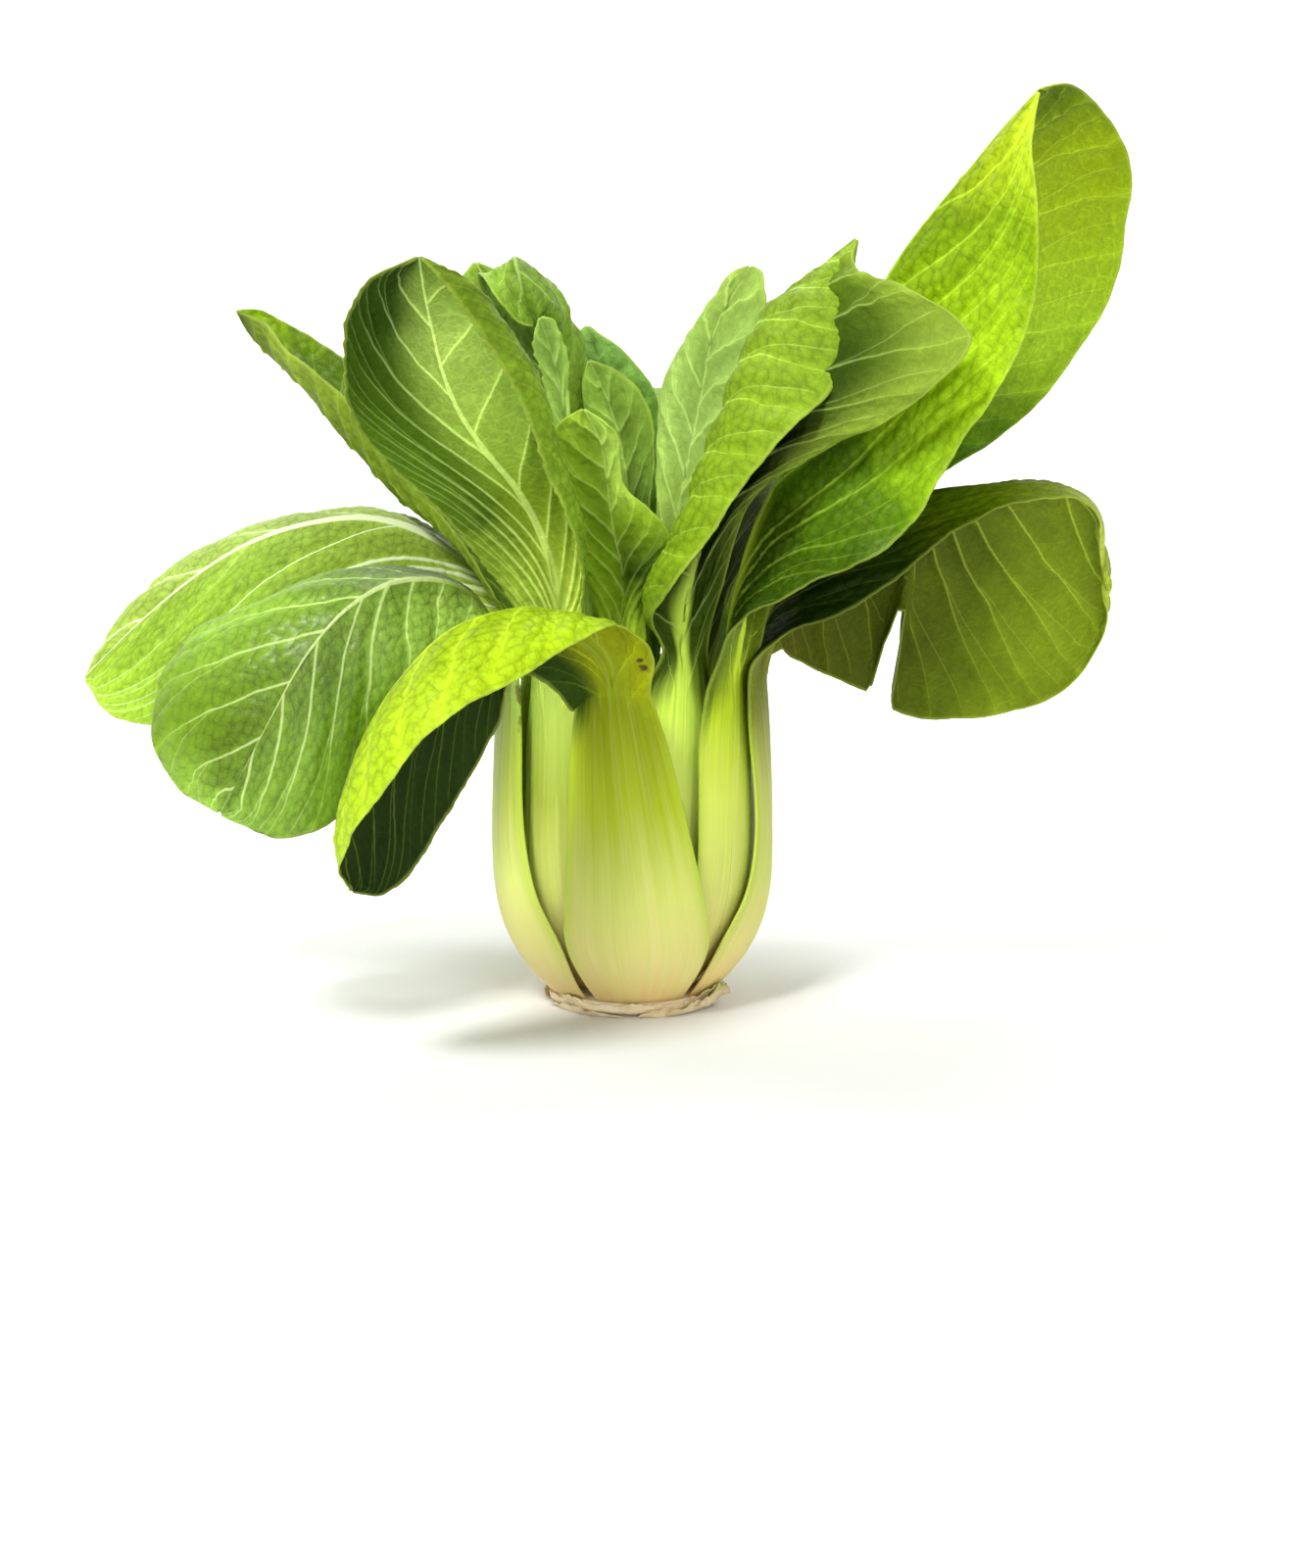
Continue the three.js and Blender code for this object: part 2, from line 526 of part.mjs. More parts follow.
// The lower face of a leaf as rows of points from foot to tip, and the rows' places along it
function lowerFace(leaf, ring) {
  const heights = Array.from({ length: STALK_SPANS + 1 }, (_, k) => mix(ring.foot, NECK_HEIGHT, k / STALK_SPANS));
  const stalk = (across) => heights.map((z) => stalkPoint(leaf, ring, z, across));
  const rib = spaceCurve(stalk(0), [...leaf.rib, leaf.tip]);
  const margins = {
    plus: spaceCurve(stalk(1), [...leaf.plus, leaf.tip]),
    minus: spaceCurve(stalk(-1), [...leaf.minus, leaf.tip]),
  };
  const crests = {
    plus: leaf.plusCrest && spaceCurve(stalk(0.6), [...leaf.plusCrest, leaf.tip]),
    minus: leaf.minusCrest && spaceCurve(stalk(-0.6), [...leaf.minusCrest, leaf.tip]),
  };
  const rows = [];
  for (let i = 0; i < ring.stalkRows; i++) rows.push({ stalk: (i / ring.stalkRows) ** 1.35, blade: 0 });
  for (let i = 0; i < ring.bladeRows; i++) {
    const even = i / ring.bladeRows;
    rows.push({ stalk: 1, blade: mix(even, Math.sin(even * 90 * DEGREE), 0.6) });
  }
  if (leaf.tear) {
    for (const side of [-1, 0, 1]) rows.push({ stalk: 1, blade: leaf.tear.at + side * leaf.tear.wide });
    rows.sort((a, b) => a.stalk - b.stalk || a.blade - b.blade);
  }
  for (const row of rows) {
    const z = mix(ring.foot, NECK_HEIGHT, row.stalk);
    const middle = row.stalk < 1 ? new THREE.Vector3(...stalkPoint(leaf, ring, z, 0)) : rib(row.blade);
    const along = rib(row.blade + 0.01).sub(rib(row.blade)).normalize();
    row.points = [middle];
    row.reach = [];
    for (const [side, sign] of [["minus", -1], ["plus", 1]]) {
      const points = [];
      let knee;
      let edge;
      let kneeShare = 0.5;
      if (row.stalk < 1) {
        edge = new THREE.Vector3(...stalkPoint(leaf, ring, z, sign));
        knee = new THREE.Vector3(...stalkPoint(leaf, ring, z, sign * 0.5));
      } else {
        const tear = leaf.tear?.half === side ? leaf.tear : null;
        const lag = tear ? tear.slant * Math.sin(Math.PI * row.blade) : 0;
        edge = margins[side](row.blade - lag);
        if (tear) {
          const apart = Math.abs(row.blade - tear.at) / tear.wide;
          edge.lerp(middle, tear.deep * clamp01(1 - apart));
        }
        const upper = new THREE.Vector3().subVectors(edge, middle).cross(along).normalize().multiplyScalar(sign);
        const start = new THREE.Vector3(...stalkPoint(leaf, ring, NECK_HEIGHT, sign * 0.5));
        const chord = rib(0).add(margins[side](0)).multiplyScalar(0.5);
        const bow = curveAt(BOW_SHARES, [-start.distanceTo(chord), ...leaf.bow[side], 0], row.blade);
        knee = middle.clone().lerp(edge, 0.5).addScaledVector(upper, bow);
        if (crests[side]) {
          const crest = crests[side](row.blade);
          const turned = smooth(0.02, 0.2, row.blade);
          knee.lerp(crest, turned);
          kneeShare = knee.distanceTo(middle) / (knee.distanceTo(middle) + edge.distanceTo(knee));
        }
      }
      for (let k = 1; k <= ring.columns; k++) {
        const v = k / ring.columns;
        const a = ((v - kneeShare) * (v - 1)) / kneeShare;
        const b = (v * (v - 1)) / (kneeShare * (kneeShare - 1));
        const c = (v * (v - kneeShare)) / (1 - kneeShare);
        const point = middle.clone().multiplyScalar(a);
        points.push(point.addScaledVector(knee, b).addScaledVector(edge, c));
      }
      row.reach.push(middle.distanceTo(knee) + knee.distanceTo(edge));
      if (sign < 0) row.points.unshift(...points.reverse());
      else row.points.push(...points);
    }
  }
  return rows;
}

// Both faces of a leaf: the lower one, and the upper one a thickness above it
function leafFaces(leaf, ring) {
  const rows = lowerFace(leaf, ring);
  const tip = new THREE.Vector3(...leaf.tip);
  const outer = [];
  const inner = [];
  let tipNormal;
  const last = rows.length - 1;
  rows.forEach((row, i) => {
    const before = rows[Math.max(0, i - 1)].points;
    const after = i < last ? rows[i + 1].points : row.points.map(() => tip);
    const rowOut = [];
    const rowIn = [];
    row.points.forEach((point, j) => {
      const across = new THREE.Vector3().subVectors(
        row.points[Math.min(2 * ring.columns, j + 1)],
        row.points[Math.max(0, j - 1)],
      );
      const normal = across.cross(new THREE.Vector3().subVectors(after[j], before[j])).normalize();
      normal.z *= smooth(0, 0.15, row.stalk);
      normal.normalize();
      if (j === ring.columns) tipNormal = normal;
      const v = Math.abs(j / ring.columns - 1);
      const reach = row.reach[j < ring.columns ? 0 : 1];
      const turn = 2 * Math.PI * (leaf.waves * row.blade + leaf.start + (j > ring.columns ? 0.37 : 0));
      const ripple = leaf.wave * Math.sin(turn) * v ** 3 * smooth(0.03, 0.2, row.blade) * smooth(1, 0.9, row.blade);
      const out = point.clone().addScaledVector(normal, ripple);
      rowOut.push(out);
      rowIn.push(out.clone().addScaledVector(normal, thicknessAt(ring, row, reach, v)));
    });
    outer.push(rowOut);
    inner.push(rowIn);
  });
  return { outer, inner, tipOut: tip, tipIn: tip.clone().addScaledVector(tipNormal, BLADE_THICK) };
}

// One closed mesh from two faces of the same rows and columns, joined along the margins, the foot and the tip
function closedLeaf({ outer, inner, tipOut, tipIn }) {
  const rows = outer.length;
  const columns = outer[0].length;
  const positions = [];
  for (const face of [outer, inner]) for (const row of face) for (const p of row) positions.push(p.x, p.y, p.z);
  positions.push(tipOut.x, tipOut.y, tipOut.z, tipIn.x, tipIn.y, tipIn.z);
  const out = (i, j) => (i < rows ? i * columns + j : 2 * rows * columns);
  const inn = (i, j) => (i < rows ? (rows + i) * columns + j : 2 * rows * columns + 1);
  const triangles = [];
  const triangle = (a, b, c) => {
    if (a !== b && b !== c && a !== c) triangles.push(a, b, c);
  };
  for (let i = 0; i < rows; i++) {
    for (let j = 0; j + 1 < columns; j++) {
      triangle(out(i, j), out(i + 1, j + 1), out(i, j + 1));
      triangle(out(i, j), out(i + 1, j), out(i + 1, j + 1));
      triangle(inn(i, j), inn(i, j + 1), inn(i + 1, j + 1));
      triangle(inn(i, j), inn(i + 1, j + 1), inn(i + 1, j));
    }
    const end = columns - 1;
    triangle(out(i, 0), inn(i, 0), inn(i + 1, 0));
    triangle(out(i, 0), inn(i + 1, 0), out(i + 1, 0));
    triangle(out(i, end), inn(i + 1, end), inn(i, end));
    triangle(out(i, end), out(i + 1, end), inn(i + 1, end));
  }
  for (let j = 0; j + 1 < columns; j++) {
    triangle(out(0, j), out(0, j + 1), inn(0, j + 1));
    triangle(out(0, j), inn(0, j + 1), inn(0, j));
  }
  const geometry = new THREE.BufferGeometry();
  geometry.setAttribute("position", new THREE.Float32BufferAttribute(positions, 3));
  geometry.setIndex(triangles);
  geometry.computeVertexNormals();
  return geometry;
}

// The short stem: a flat cut below, a ragged rim with the stubs of trimmed stalks, and a step for each ring
const CUT_RADIUS = 24;
const RIM_RADIUS = 27.4;
const STUB_HEIGHT = 9.3;
const STUB_RADIUS = 34;
const STEM_SIDES = 60;

// Stubs around the rim: where they stand in degrees, how wide they are, and their share of the full height
const STUBS = [
  { at: 330, wide: 13, tall: 1 },
  { at: 226, wide: 12, tall: 0.35 },
  { at: 272, wide: 10, tall: 0.18 },
  { at: 158, wide: 16, tall: 0.6 },
  { at: 98, wide: 11, tall: 0.45 },
  { at: 32, wide: 14, tall: 0.7 },
];

// How far the rim rises into a stub at an angle in degrees
function stubAt(angle) {
  let tall = 0;
  for (const stub of STUBS) {
    const apart = ((angle - stub.at + 540) % 360) - 180;
    tall = Math.max(tall, stub.tall * smooth(stub.wide, stub.wide * 0.3, Math.abs(apart)));
  }
  return clamp01(tall + 0.05 * Math.sin(angle * 0.31) * Math.sin(angle * 0.11));
}

function stemGeometry() {
  const profile = [[0, 0], [CUT_RADIUS, 0], [RIM_RADIUS - 0.4, 1.2], [RIM_RADIUS, 3.2], [RIM_RADIUS - 0.5, 3.9]];
  const rimTop = 3;
  const rimInside = 4;
  profile.push([RIM_RADIUS - 0.8, RINGS[0].foot - STEP_GAP - 0.2]);
  const rimFoot = 5;
  let inside = BELLY_RADIUS * bulge(RINGS[0].foot) - 1.7;
  RINGS.forEach((ring, k) => {
    profile.push([inside, ring.foot - STEP_GAP]);
    const hollow = ring.depth[0] + ring.thick + STEP_WALL;
    profile.push([BELLY_RADIUS * bulge(ring.foot) - hollow, ring.foot - STEP_GAP]);
    if (k < RINGS.length - 1) inside = BELLY_RADIUS * bulge(RINGS[k + 1].foot) - hollow;
  });
  profile.push([0, RINGS[4].foot - STEP_GAP + 1.5]);
  const geometry = new THREE.LatheGeometry(profile.map(([r, z]) => new THREE.Vector2(r, z)), STEM_SIDES);
  geometry.rotateX(90 * DEGREE);
  const spots = geometry.attributes.position;
  for (let k = 0; k < spots.count; k++) {
    const ring = k % profile.length;
    if (![rimTop, rimInside, rimFoot].includes(ring)) continue;
    const angle = Math.atan2(spots.getY(k), spots.getX(k));
    const tall = stubAt(((angle / DEGREE) + 360) % 360);
    const [radius, z] = profile[ring];
    const stub = {
      [rimTop]: [STUB_RADIUS, STUB_HEIGHT],
      [rimInside]: [STUB_RADIUS - 1.1, STUB_HEIGHT - 0.4],
      [rimFoot]: [RIM_RADIUS + 1.7, z],
    }[ring];
    const r = mix(radius, stub[0], tall);
    spots.setXYZ(k, r * Math.cos(angle), r * Math.sin(angle), mix(z, stub[1], tall));
  }
  return geometry;
}

const leafMaterial = new THREE.MeshStandardMaterial({ name: "leaf", color: 0x6f9f2c, roughness: 0.5, metalness: 0 });
const stemMaterial = new THREE.MeshStandardMaterial({ name: "stem", color: 0xd8cf9a, roughness: 0.6, metalness: 0 });

const head = new THREE.Group();
head.name = "bok_choy";

const stem = new THREE.Mesh(stemGeometry(), stemMaterial);
stem.name = "stem";
head.add(stem);

for (const leaf of LEAVES) {
  const mesh = new THREE.Mesh(closedLeaf(leafFaces(leaf, RINGS[leaf.ring])), leafMaterial);
  mesh.name = leaf.name;
  head.add(mesh);
}

export default head;
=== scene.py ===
"""A head of bok choy on its cut stem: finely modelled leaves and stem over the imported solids, in metres."""
import math

import bpy
import numpy as np
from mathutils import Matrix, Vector


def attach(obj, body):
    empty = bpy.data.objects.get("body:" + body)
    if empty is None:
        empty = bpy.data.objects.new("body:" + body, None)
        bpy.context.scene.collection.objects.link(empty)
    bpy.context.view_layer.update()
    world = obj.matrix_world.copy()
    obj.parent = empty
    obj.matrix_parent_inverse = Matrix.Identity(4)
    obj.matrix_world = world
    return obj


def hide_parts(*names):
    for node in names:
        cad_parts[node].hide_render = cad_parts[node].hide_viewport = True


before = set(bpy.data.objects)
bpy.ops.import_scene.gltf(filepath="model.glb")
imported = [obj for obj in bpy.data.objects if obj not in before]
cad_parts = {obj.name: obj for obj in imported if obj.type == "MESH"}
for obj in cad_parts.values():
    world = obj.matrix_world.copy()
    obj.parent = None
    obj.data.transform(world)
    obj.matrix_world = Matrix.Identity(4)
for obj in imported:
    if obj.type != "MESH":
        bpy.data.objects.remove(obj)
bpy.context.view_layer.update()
MM = 0.001

# The outline of the head and its rings of leaves, as in the part's source, in millimetres
BELLY_RADIUS = 45.7
BELLY_HEIGHT = 55
FOOT_PINCH = 0.52
TOP_PINCH = 0.055
NECK_HEIGHT = 104
STALK_ROUNDNESS = 0.76
ARC_SHARES = (0, 0.2, 0.35, 0.5, 0.67, 0.85, 1)
STALK_ARC = (43, 48, 41, 36, 31, 26, 20)
AZIMUTH_SHARES = (0, 0.5, 1)
STALK_SPANS = 9
BOW_SHARES = (0, 0.2, 0.5, 0.85, 1)
EDGE_THICK = 1.1
RINGS = (
    {"foot": 5, "depth": (0, 0), "thick": 7.6, "arc": 1},
    {"foot": 7, "depth": (8.2, 7), "thick": 6.2, "arc": 0.84},
    {"foot": 9, "depth": (15.3, 14), "thick": 5.2, "arc": 0.82},
    {"foot": 11, "depth": (21.3, 20), "thick": 4.2, "arc": 0.7},
    {"foot": 13, "depth": (26, 25), "thick": 3.4, "arc": 0.8},
)
SIDES = (("minus", -1), ("plus", 1))

# The grid of a leaf: how much longer a cell of the stalk is, and the place of the last row, just below the
# tip
STALK_CELL = 2.2
LAST_ROW = 0.994

# The skin of a leaf, in millimetres. Pairs run from the midrib to the margin.
NECK_THIN = 0.62
SHEET_THICK = 0.6
MIDRIB_WIDE = 3
KEEL_TALL = 0.9
KEEL_LEAST = 0.15
VEIN_TALL = (0.85, 0.36)
VEIN_WIDE = (0.8, 0.42)
FORK_TALL = 0.2
FORK_WIDE = 0.55
NET_TALL = 0.12
NET_WIDE = 0.45
NET_SIZE = 3.6
STALK_RIBS = 0.13
QUILT_SEAM = 2.8
FORK_SEAM = 1.6
TOOTH_PITCH = 4.6
PITCH_LIMITS = (1.5, 60)
# Height, length, row and draw of the noise, and how close to the margin
RIPPLES = ((0.8, 9, 3, 20, 6), (0.35, 3.4, 5, 21, 12))
# Share of the quilting, length, and draw of the noise
CREASES = ((0.35, 11, 30), (0.10, 3.1, 31))

# Colours, and the scales of the noises that break them up
STALK_STOPS = ((-1.0, (0.87, 0.62, 0.25)), (-0.86, (0.79, 0.71, 0.26)), (-0.62, (0.66, 0.72, 0.17)))
STALK_EDGE = (0.46, 0.62, 0.04)
STREAK_PALE = (0.84, 0.88, 0.50)
STREAK_DARK = (0.72, 0.80, 0.35)
VEIN_LIGHTER = (2.3, 2.1, 2.4)
MARGIN_PALE = (0.50, 0.62, 0.10)
BROWN = (0.10, 0.06, 0.015)
SHEEN = (0.80, 0.92, 0.42)
SHINING_THROUGH = (1.1, 1.15, 0.6)
GLOW_SHARE = 0.08
CUT_PALE = (0.90, 0.78, 0.52)
CUT_CREAM = (0.84, 0.68, 0.40)
CUT_FIBRE = (0.66, 0.48, 0.24)
CUT_UNDERNEATH = (0.48, 0.30, 0.12)
STUB_GREEN = (0.42, 0.46, 0.10)
FLAKE_EDGE = (0.50, 0.33, 0.14)
PATCH_SCALE = 38.0
MOTTLE_SCALE = 260.0
FINEST_SCALE = 430.0
DOT_SCALE = 330.0
# Wide and fine streaks of a stalk: how many across, how stretched along, detail and roughness
STREAKS = ((6.0, 0.9, 3.0, 0.6), (26.0, 1.4, 2.0, 0.5))

# The cut stem, in millimetres. A stub of a trimmed stalk: angle and half width in degrees, share of the
# height
CUT_RADII = (0.5, 6, 12, 18, 22, 23.6)
CUT_RADIUS = 24
RIM_RADIUS = 27.4
STUB_HEIGHT = 9.3
STUB_RADIUS = 34
RIM_STEP = 1.7
STEP_GAP = 0.35
STEP_WALL = 1.1
STEM_SIDES = 360
STUBS = ((330, 13, 1), (226, 12, 0.35), (272, 10, 0.18), (158, 16, 0.6), (98, 11, 0.45), (32, 14, 0.7))
# Torn flakes of outer stalks around the foot: from and to angle in degrees, then foot radius, lean out,
# foot and height in mm
FLAKES = (
    (203, 246, 27.7, 1.5, 0.15, 2.9), (232, 266, 28.0, 0.9, 0.1, 1.9),
    (274, 305, 28.0, 1.3, 0.1, 3.6), (292, 326, 28.6, 2.6, 0.4, 4.8), (312, 349, 29.2, 3.6, 1.2, 7.2),
    (20, 66, 27.9, 1.3, 0.2, 2.8), (84, 126, 27.8, 1.6, 0.2, 3.2), (142, 186, 27.9, 1.4, 0.2, 3.0),
)
FLAKE_ROWS = 9
FLAKE_THICK = 0.55

# Floor, lights (name, place, target, size, power) and camera, in metres
FLOOR_SIDES = 96
FLOOR_FLAT = 1.7
FLOOR_COLOUR = (0.82, 0.82, 0.81)
WALL_BEND = 0.9
WALL_TOP = 3.5
MIDDLE = (0, 0, 0.15)
LIGHTS = (
    ("key", (-0.55, -0.85, 1.25), MIDDLE, 0.4, 21.5),
    ("fill", (0.6, -1.95, 0.62), (0, 0, 0.08), 1.2, 11.5),
    ("top", (0.1, 0.5, 1.5), MIDDLE, 0.9, 3),
    ("backdrop", (0, 1.0, 2.3), (0, 2.5, 0.9), 1.8, 58),
    ("floor_behind", (0, 0.8, 1.1), (0, 2.0, 0), 1.4, 12),
    ("wall_in_front", (0, -1.2, 2.3), (0, -2.6, 0.9), 1.8, 5),
)
WORLD_STRENGTH = 0.03
CAMERA_PLACE = (0.0084, -0.690, 0.178)
CAMERA_LENS = 49.5
CAMERA_SENSOR = 36
# The middle row of the photo, the row of its horizon, and the distance of the picture in rows
MIDDLE_ROW = 800
HORIZON_ROW = 458
FOCAL_ROWS = 2200
CAMERA_PITCH = math.atan((MIDDLE_ROW - HORIZON_ROW) / FOCAL_ROWS)

# The leaves, ring by ring, as in the part's source. azimuth is where the stalk stands at its foot, half way
# and neck, arc its width there as a share of its ring's, and depth how far in it is at the neck. rib, plus
# and minus are the midrib and the margins of the two halves, as points in space from neck to tip, and a
# crest is the ridge of a half. bow is how far each half stands out. wave and waves are the height and
# number of the ripples of the margin, and start is where the first one begins. A tear is a notch in one
# half.
LEAVES = [
    dict(name="leaf_front", ring=0, azimuth=(276, 270, 263), arc=(0.92, 0.96, 1), tip=(-79, -87, 53),
        wave=1.2, waves=3, start=0.4, bow={"plus": (2, 6, 4), "minus": (2, 4, 2)},
        rib=[(-7, -50, 115), (-16, -61, 126), (-26, -74, 131), (-37, -85, 131), (-49, -93, 127),
            (-60, -98, 117), (-69, -99, 105), (-77, -97, 88), (-81, -92, 71)],
        plus=[(-17, -46, 100), (-21, -53, 106), (-26, -63, 112), (-33, -73, 113), (-38, -68, 99),
            (-43, -68, 89), (-55, -74, 70), (-63, -79, 57), (-71, -82, 51)],
        minus=[(6, -48, 108), (7, -53, 115), (5, -59, 122), (-1, -66, 126), (-12, -82, 125),
            (-27, -104, 118), (-51, -117, 104), (-66, -117, 87), (-78, -106, 68)]),
    dict(name="leaf_left", ring=0, azimuth=(204, 195, 200), arc=(0.95, 0.95, 1), tip=(-120, -66, 72),
        wave=1.4, waves=3, start=0, bow={"plus": (3, 5, 3), "minus": (3, 6, 3)},
        rib=[(-43, -17, 116), (-47, -22, 127), (-54, -30, 135), (-63, -39, 138), (-73, -48, 137),
            (-83, -54, 131), (-93, -59, 120), (-104, -64, 101), (-113, -66, 84)],
        plus=[(-45, -6, 112), (-51, -3, 126), (-59, -4, 134), (-72, -13, 137), (-92, -22, 137),
            (-114, -30, 132), (-132, -37, 121), (-143, -42, 107), (-144, -48, 92), (-133, -57, 79)],
        minus=[(-37, -27, 111), (-45, -32, 118), (-55, -40, 112), (-63, -48, 98), (-72, -54, 84),
            (-81, -60, 75), (-93, -67, 68), (-106, -70, 66)]),
    dict(name="leaf_right", ring=0, azimuth=(347, 362, 350), arc=(0.98, 1, 1.3), tip=(149, -6, 139),
        wave=1.4, waves=3, start=0.3, bow={"plus": (2, 3, 2), "minus": (4, 9, 6)},
        tear={"half": "minus", "at": 0.53, "deep": 0.5, "wide": 0.022, "slant": 0.2},
        rib=[(44, -4, 115), (47, -5, 128), (55, -6, 141), (67, -7, 151), (80, -8, 159), (94, -11, 164),
            (109, -14, 166), (125, -16, 166), (138, -17, 163), (144, -15, 157), (147, -11, 148)],
        plus=[(38, -21, 111), (46, -22, 119), (63, -22, 126), (79, -28, 137), (95, -34, 150),
            (106, -37, 157), (120, -37, 163), (131, -33, 164), (140, -25, 160)],
        minus=[(43, 11, 110), (48, 14, 113), (54, 20, 109), (66, 23, 103), (78, 25, 98), (85, 26, 93),
            (96, 26, 89), (112, 25, 89), (131, 22, 93), (145, 17, 102), (151, 11, 112), (152, 3, 124)]),
    dict(name="leaf_back_right", ring=0, azimuth=(67, 67, 66), arc=(0.82, 0.85, 1), tip=(27, 116, 98),
        wave=1.6, waves=3, start=0.6, bow={"plus": (3, 6, 4), "minus": (3, 6, 4)},
        rib=[(21, 42, 118), (24, 52, 132), (26, 68, 142), (27, 86, 143), (27, 102, 134), (27, 112, 118)],
        plus=[(32, 38, 110), (42, 46, 115), (54, 62, 121), (60, 80, 122), (60, 96, 115), (48, 110, 102)],
        minus=[(12, 45, 112), (7, 54, 122), (3, 70, 130), (2, 88, 130), (4, 104, 120), (12, 114, 106)]),
    dict(name="leaf_back_left", ring=0, azimuth=(131, 131, 126), arc=(0.86, 0.88, 1), tip=(-38, 113, 95),
        wave=1.6, waves=3, start=0.1, bow={"plus": (3, 6, 4), "minus": (3, 6, 4)},
        rib=[(-27, 39, 118), (-31, 50, 132), (-34, 66, 141), (-36, 84, 141), (-37, 100, 132),
            (-38, 110, 116)],
        plus=[(-16, 43, 112), (-9, 53, 120), (-5, 70, 127), (-5, 88, 126), (-8, 102, 117), (-20, 112, 104)],
        minus=[(-37, 32, 110), (-50, 44, 115), (-64, 62, 120), (-70, 80, 119), (-69, 96, 111),
            (-56, 109, 99)]),
    dict(name="leaf_spoon", ring=1, depth=6.4, azimuth=(232, 230, 229), arc=(1, 1, 1.4),
        tip=(-56, -95, 229), wave=1, waves=3, start=0.2, bow={"plus": (-2, 3, 4), "minus": (0, 0, 0)},
        rib=[(-22, -31, 120), (-23, -35, 135), (-27, -40, 152), (-33, -46, 165), (-42, -53, 177),
            (-49, -58, 188), (-53, -64, 199), (-55, -73, 211), (-56, -84, 221)],
        plus=[(-31, -29, 114), (-34, -35, 126), (-41, -42, 140), (-55, -52, 159), (-68, -60, 173),
            (-76, -66, 183), (-80, -72, 193), (-80, -77, 204), (-74, -85, 217), (-65, -92, 225)],
        minus=[(-15, -36, 118), (-14, -40, 130), (-15, -45, 145), (-20, -52, 160), (-24, -59, 173),
            (-29, -66, 186), (-34, -73, 197), (-39, -81, 207), (-46, -90, 218)],
        minus_crest=[(-17, -34, 118), (-13, -37, 132), (-13, -42, 148), (-16, -48, 165), (-20, -55, 179),
            (-24, -62, 192), (-29, -69, 203), (-35, -77, 213), (-43, -87, 223)]),
    dict(name="leaf_tall_right", ring=1, depth=5, azimuth=(323, 322, 329), arc=(0.86, 0.86, 1.58),
        tip=(114, -73, 276), wave=1.2, waves=4, start=0.5, bow={"plus": (1, 2, 3), "minus": (4, 10, 6)},
        rib=[(33, -25, 118), (35, -31, 138), (39, -36, 154), (44, -41, 166), (52, -45, 179), (60, -47, 192),
            (67, -48, 207), (72, -50, 220), (79, -55, 233), (87, -61, 244), (96, -66, 255),
            (104, -70, 265)],
        plus=[(27, -31, 113), (30, -38, 121), (36, -47, 129), (43, -54, 133), (56, -64, 141),
            (65, -70, 144), (77, -74, 153), (88, -76, 170), (94, -77, 180), (100, -79, 189),
            (108, -81, 203), (112, -82, 219), (113, -82, 235), (112, -81, 250), (111, -79, 259),
            (112, -76, 268)],
        minus=[(40, -18, 115), (46, -9, 137), (62, 4, 154), (85, 10, 163), (103, 8, 172), (121, 2, 185),
            (135, -6, 203), (147, -16, 224), (149, -26, 245), (146, -38, 263), (133, -54, 275),
            (122, -66, 278)]),
    dict(name="leaf_far_left", ring=1, azimuth=(163, 163, 160), tip=(-173, -10, 106), wave=1.2, waves=3,
        start=0.8, bow={"plus": (3, 8, 6), "minus": (3, 7, 4)},
        rib=[(-38, 16, 116), (-46, 22, 130), (-57, 23, 141), (-69, 18, 150), (-84, 12, 155), (-102, 5, 154),
            (-123, 0, 147), (-144, -5, 133), (-162, -8, 117)],
        plus=[(-36, 24, 114), (-46, 32, 130), (-60, 36, 140), (-81, 42, 147), (-111, 44, 142),
            (-135, 39, 135), (-156, 28, 124), (-170, 13, 112)],
        minus=[(-38, 6, 112), (-48, 4, 116), (-62, 0, 112), (-78, -6, 108), (-97, -14, 105),
            (-118, -19, 101), (-136, -22, 95), (-151, -22, 93), (-166, -18, 98)]),
    dict(name="leaf_back", ring=1, azimuth=(96, 96, 94), arc=(0.96, 1, 1.1), tip=(3, 126, 184), wave=1.6,
        waves=3, start=0.35, bow={"plus": (-2, 3, 4), "minus": (-2, 3, 4)},
        rib=[(-3, 40, 126), (-3, 50, 150), (-2, 64, 174), (0, 84, 192), (2, 104, 199), (3, 117, 194)],
        plus=[(9, 38, 120), (24, 48, 142), (36, 64, 166), (42, 86, 182), (38, 106, 188), (22, 122, 187)],
        minus=[(-15, 40, 122), (-30, 50, 142), (-40, 66, 164), (-42, 88, 180), (-34, 108, 186),
            (-16, 122, 186)]),
    dict(name="leaf_far_right", ring=1, azimuth=(31, 31, 28), arc=(0.96, 1, 1.1), tip=(113, 68, 129),
        wave=1.4, waves=3, start=0.7, bow={"plus": (0, 4, 3), "minus": (0, 4, 3)},
        rib=[(37, 22, 118), (46, 32, 134), (60, 44, 146), (77, 54, 150), (93, 61, 146), (106, 65, 138)],
        plus=[(43, 16, 114), (54, 22, 122), (70, 30, 129), (88, 38, 133), (104, 48, 133), (114, 58, 131)],
        minus=[(28, 30, 114), (32, 46, 130), (44, 62, 140), (62, 76, 143), (84, 80, 138), (102, 76, 131)]),
    dict(name="leaf_folded", ring=2, depth=12, azimuth=(290, 294, 300), arc=(1, 1.15, 1.9),
        tip=(66, -54, 238), wave=1, waves=3, start=0.15, bow={"plus": (0, 0, 0), "minus": (-1, -4, -3)},
        rib=[(16, -27, 118), (20, -32, 142), (27, -36, 165), (33, -40, 186), (41, -44, 204),
            (52, -47, 222)],
        plus=[(10, -33, 116), (7, -41, 126), (13, -54, 138), (23, -61, 153), (34, -66, 169), (48, -69, 185),
            (57, -69, 194), (62, -67, 204), (63, -64, 213), (64, -57, 225)],
        plus_crest=[(8, -29, 116), (4, -37, 130), (8, -44, 143), (14, -48, 155), (20, -52, 171),
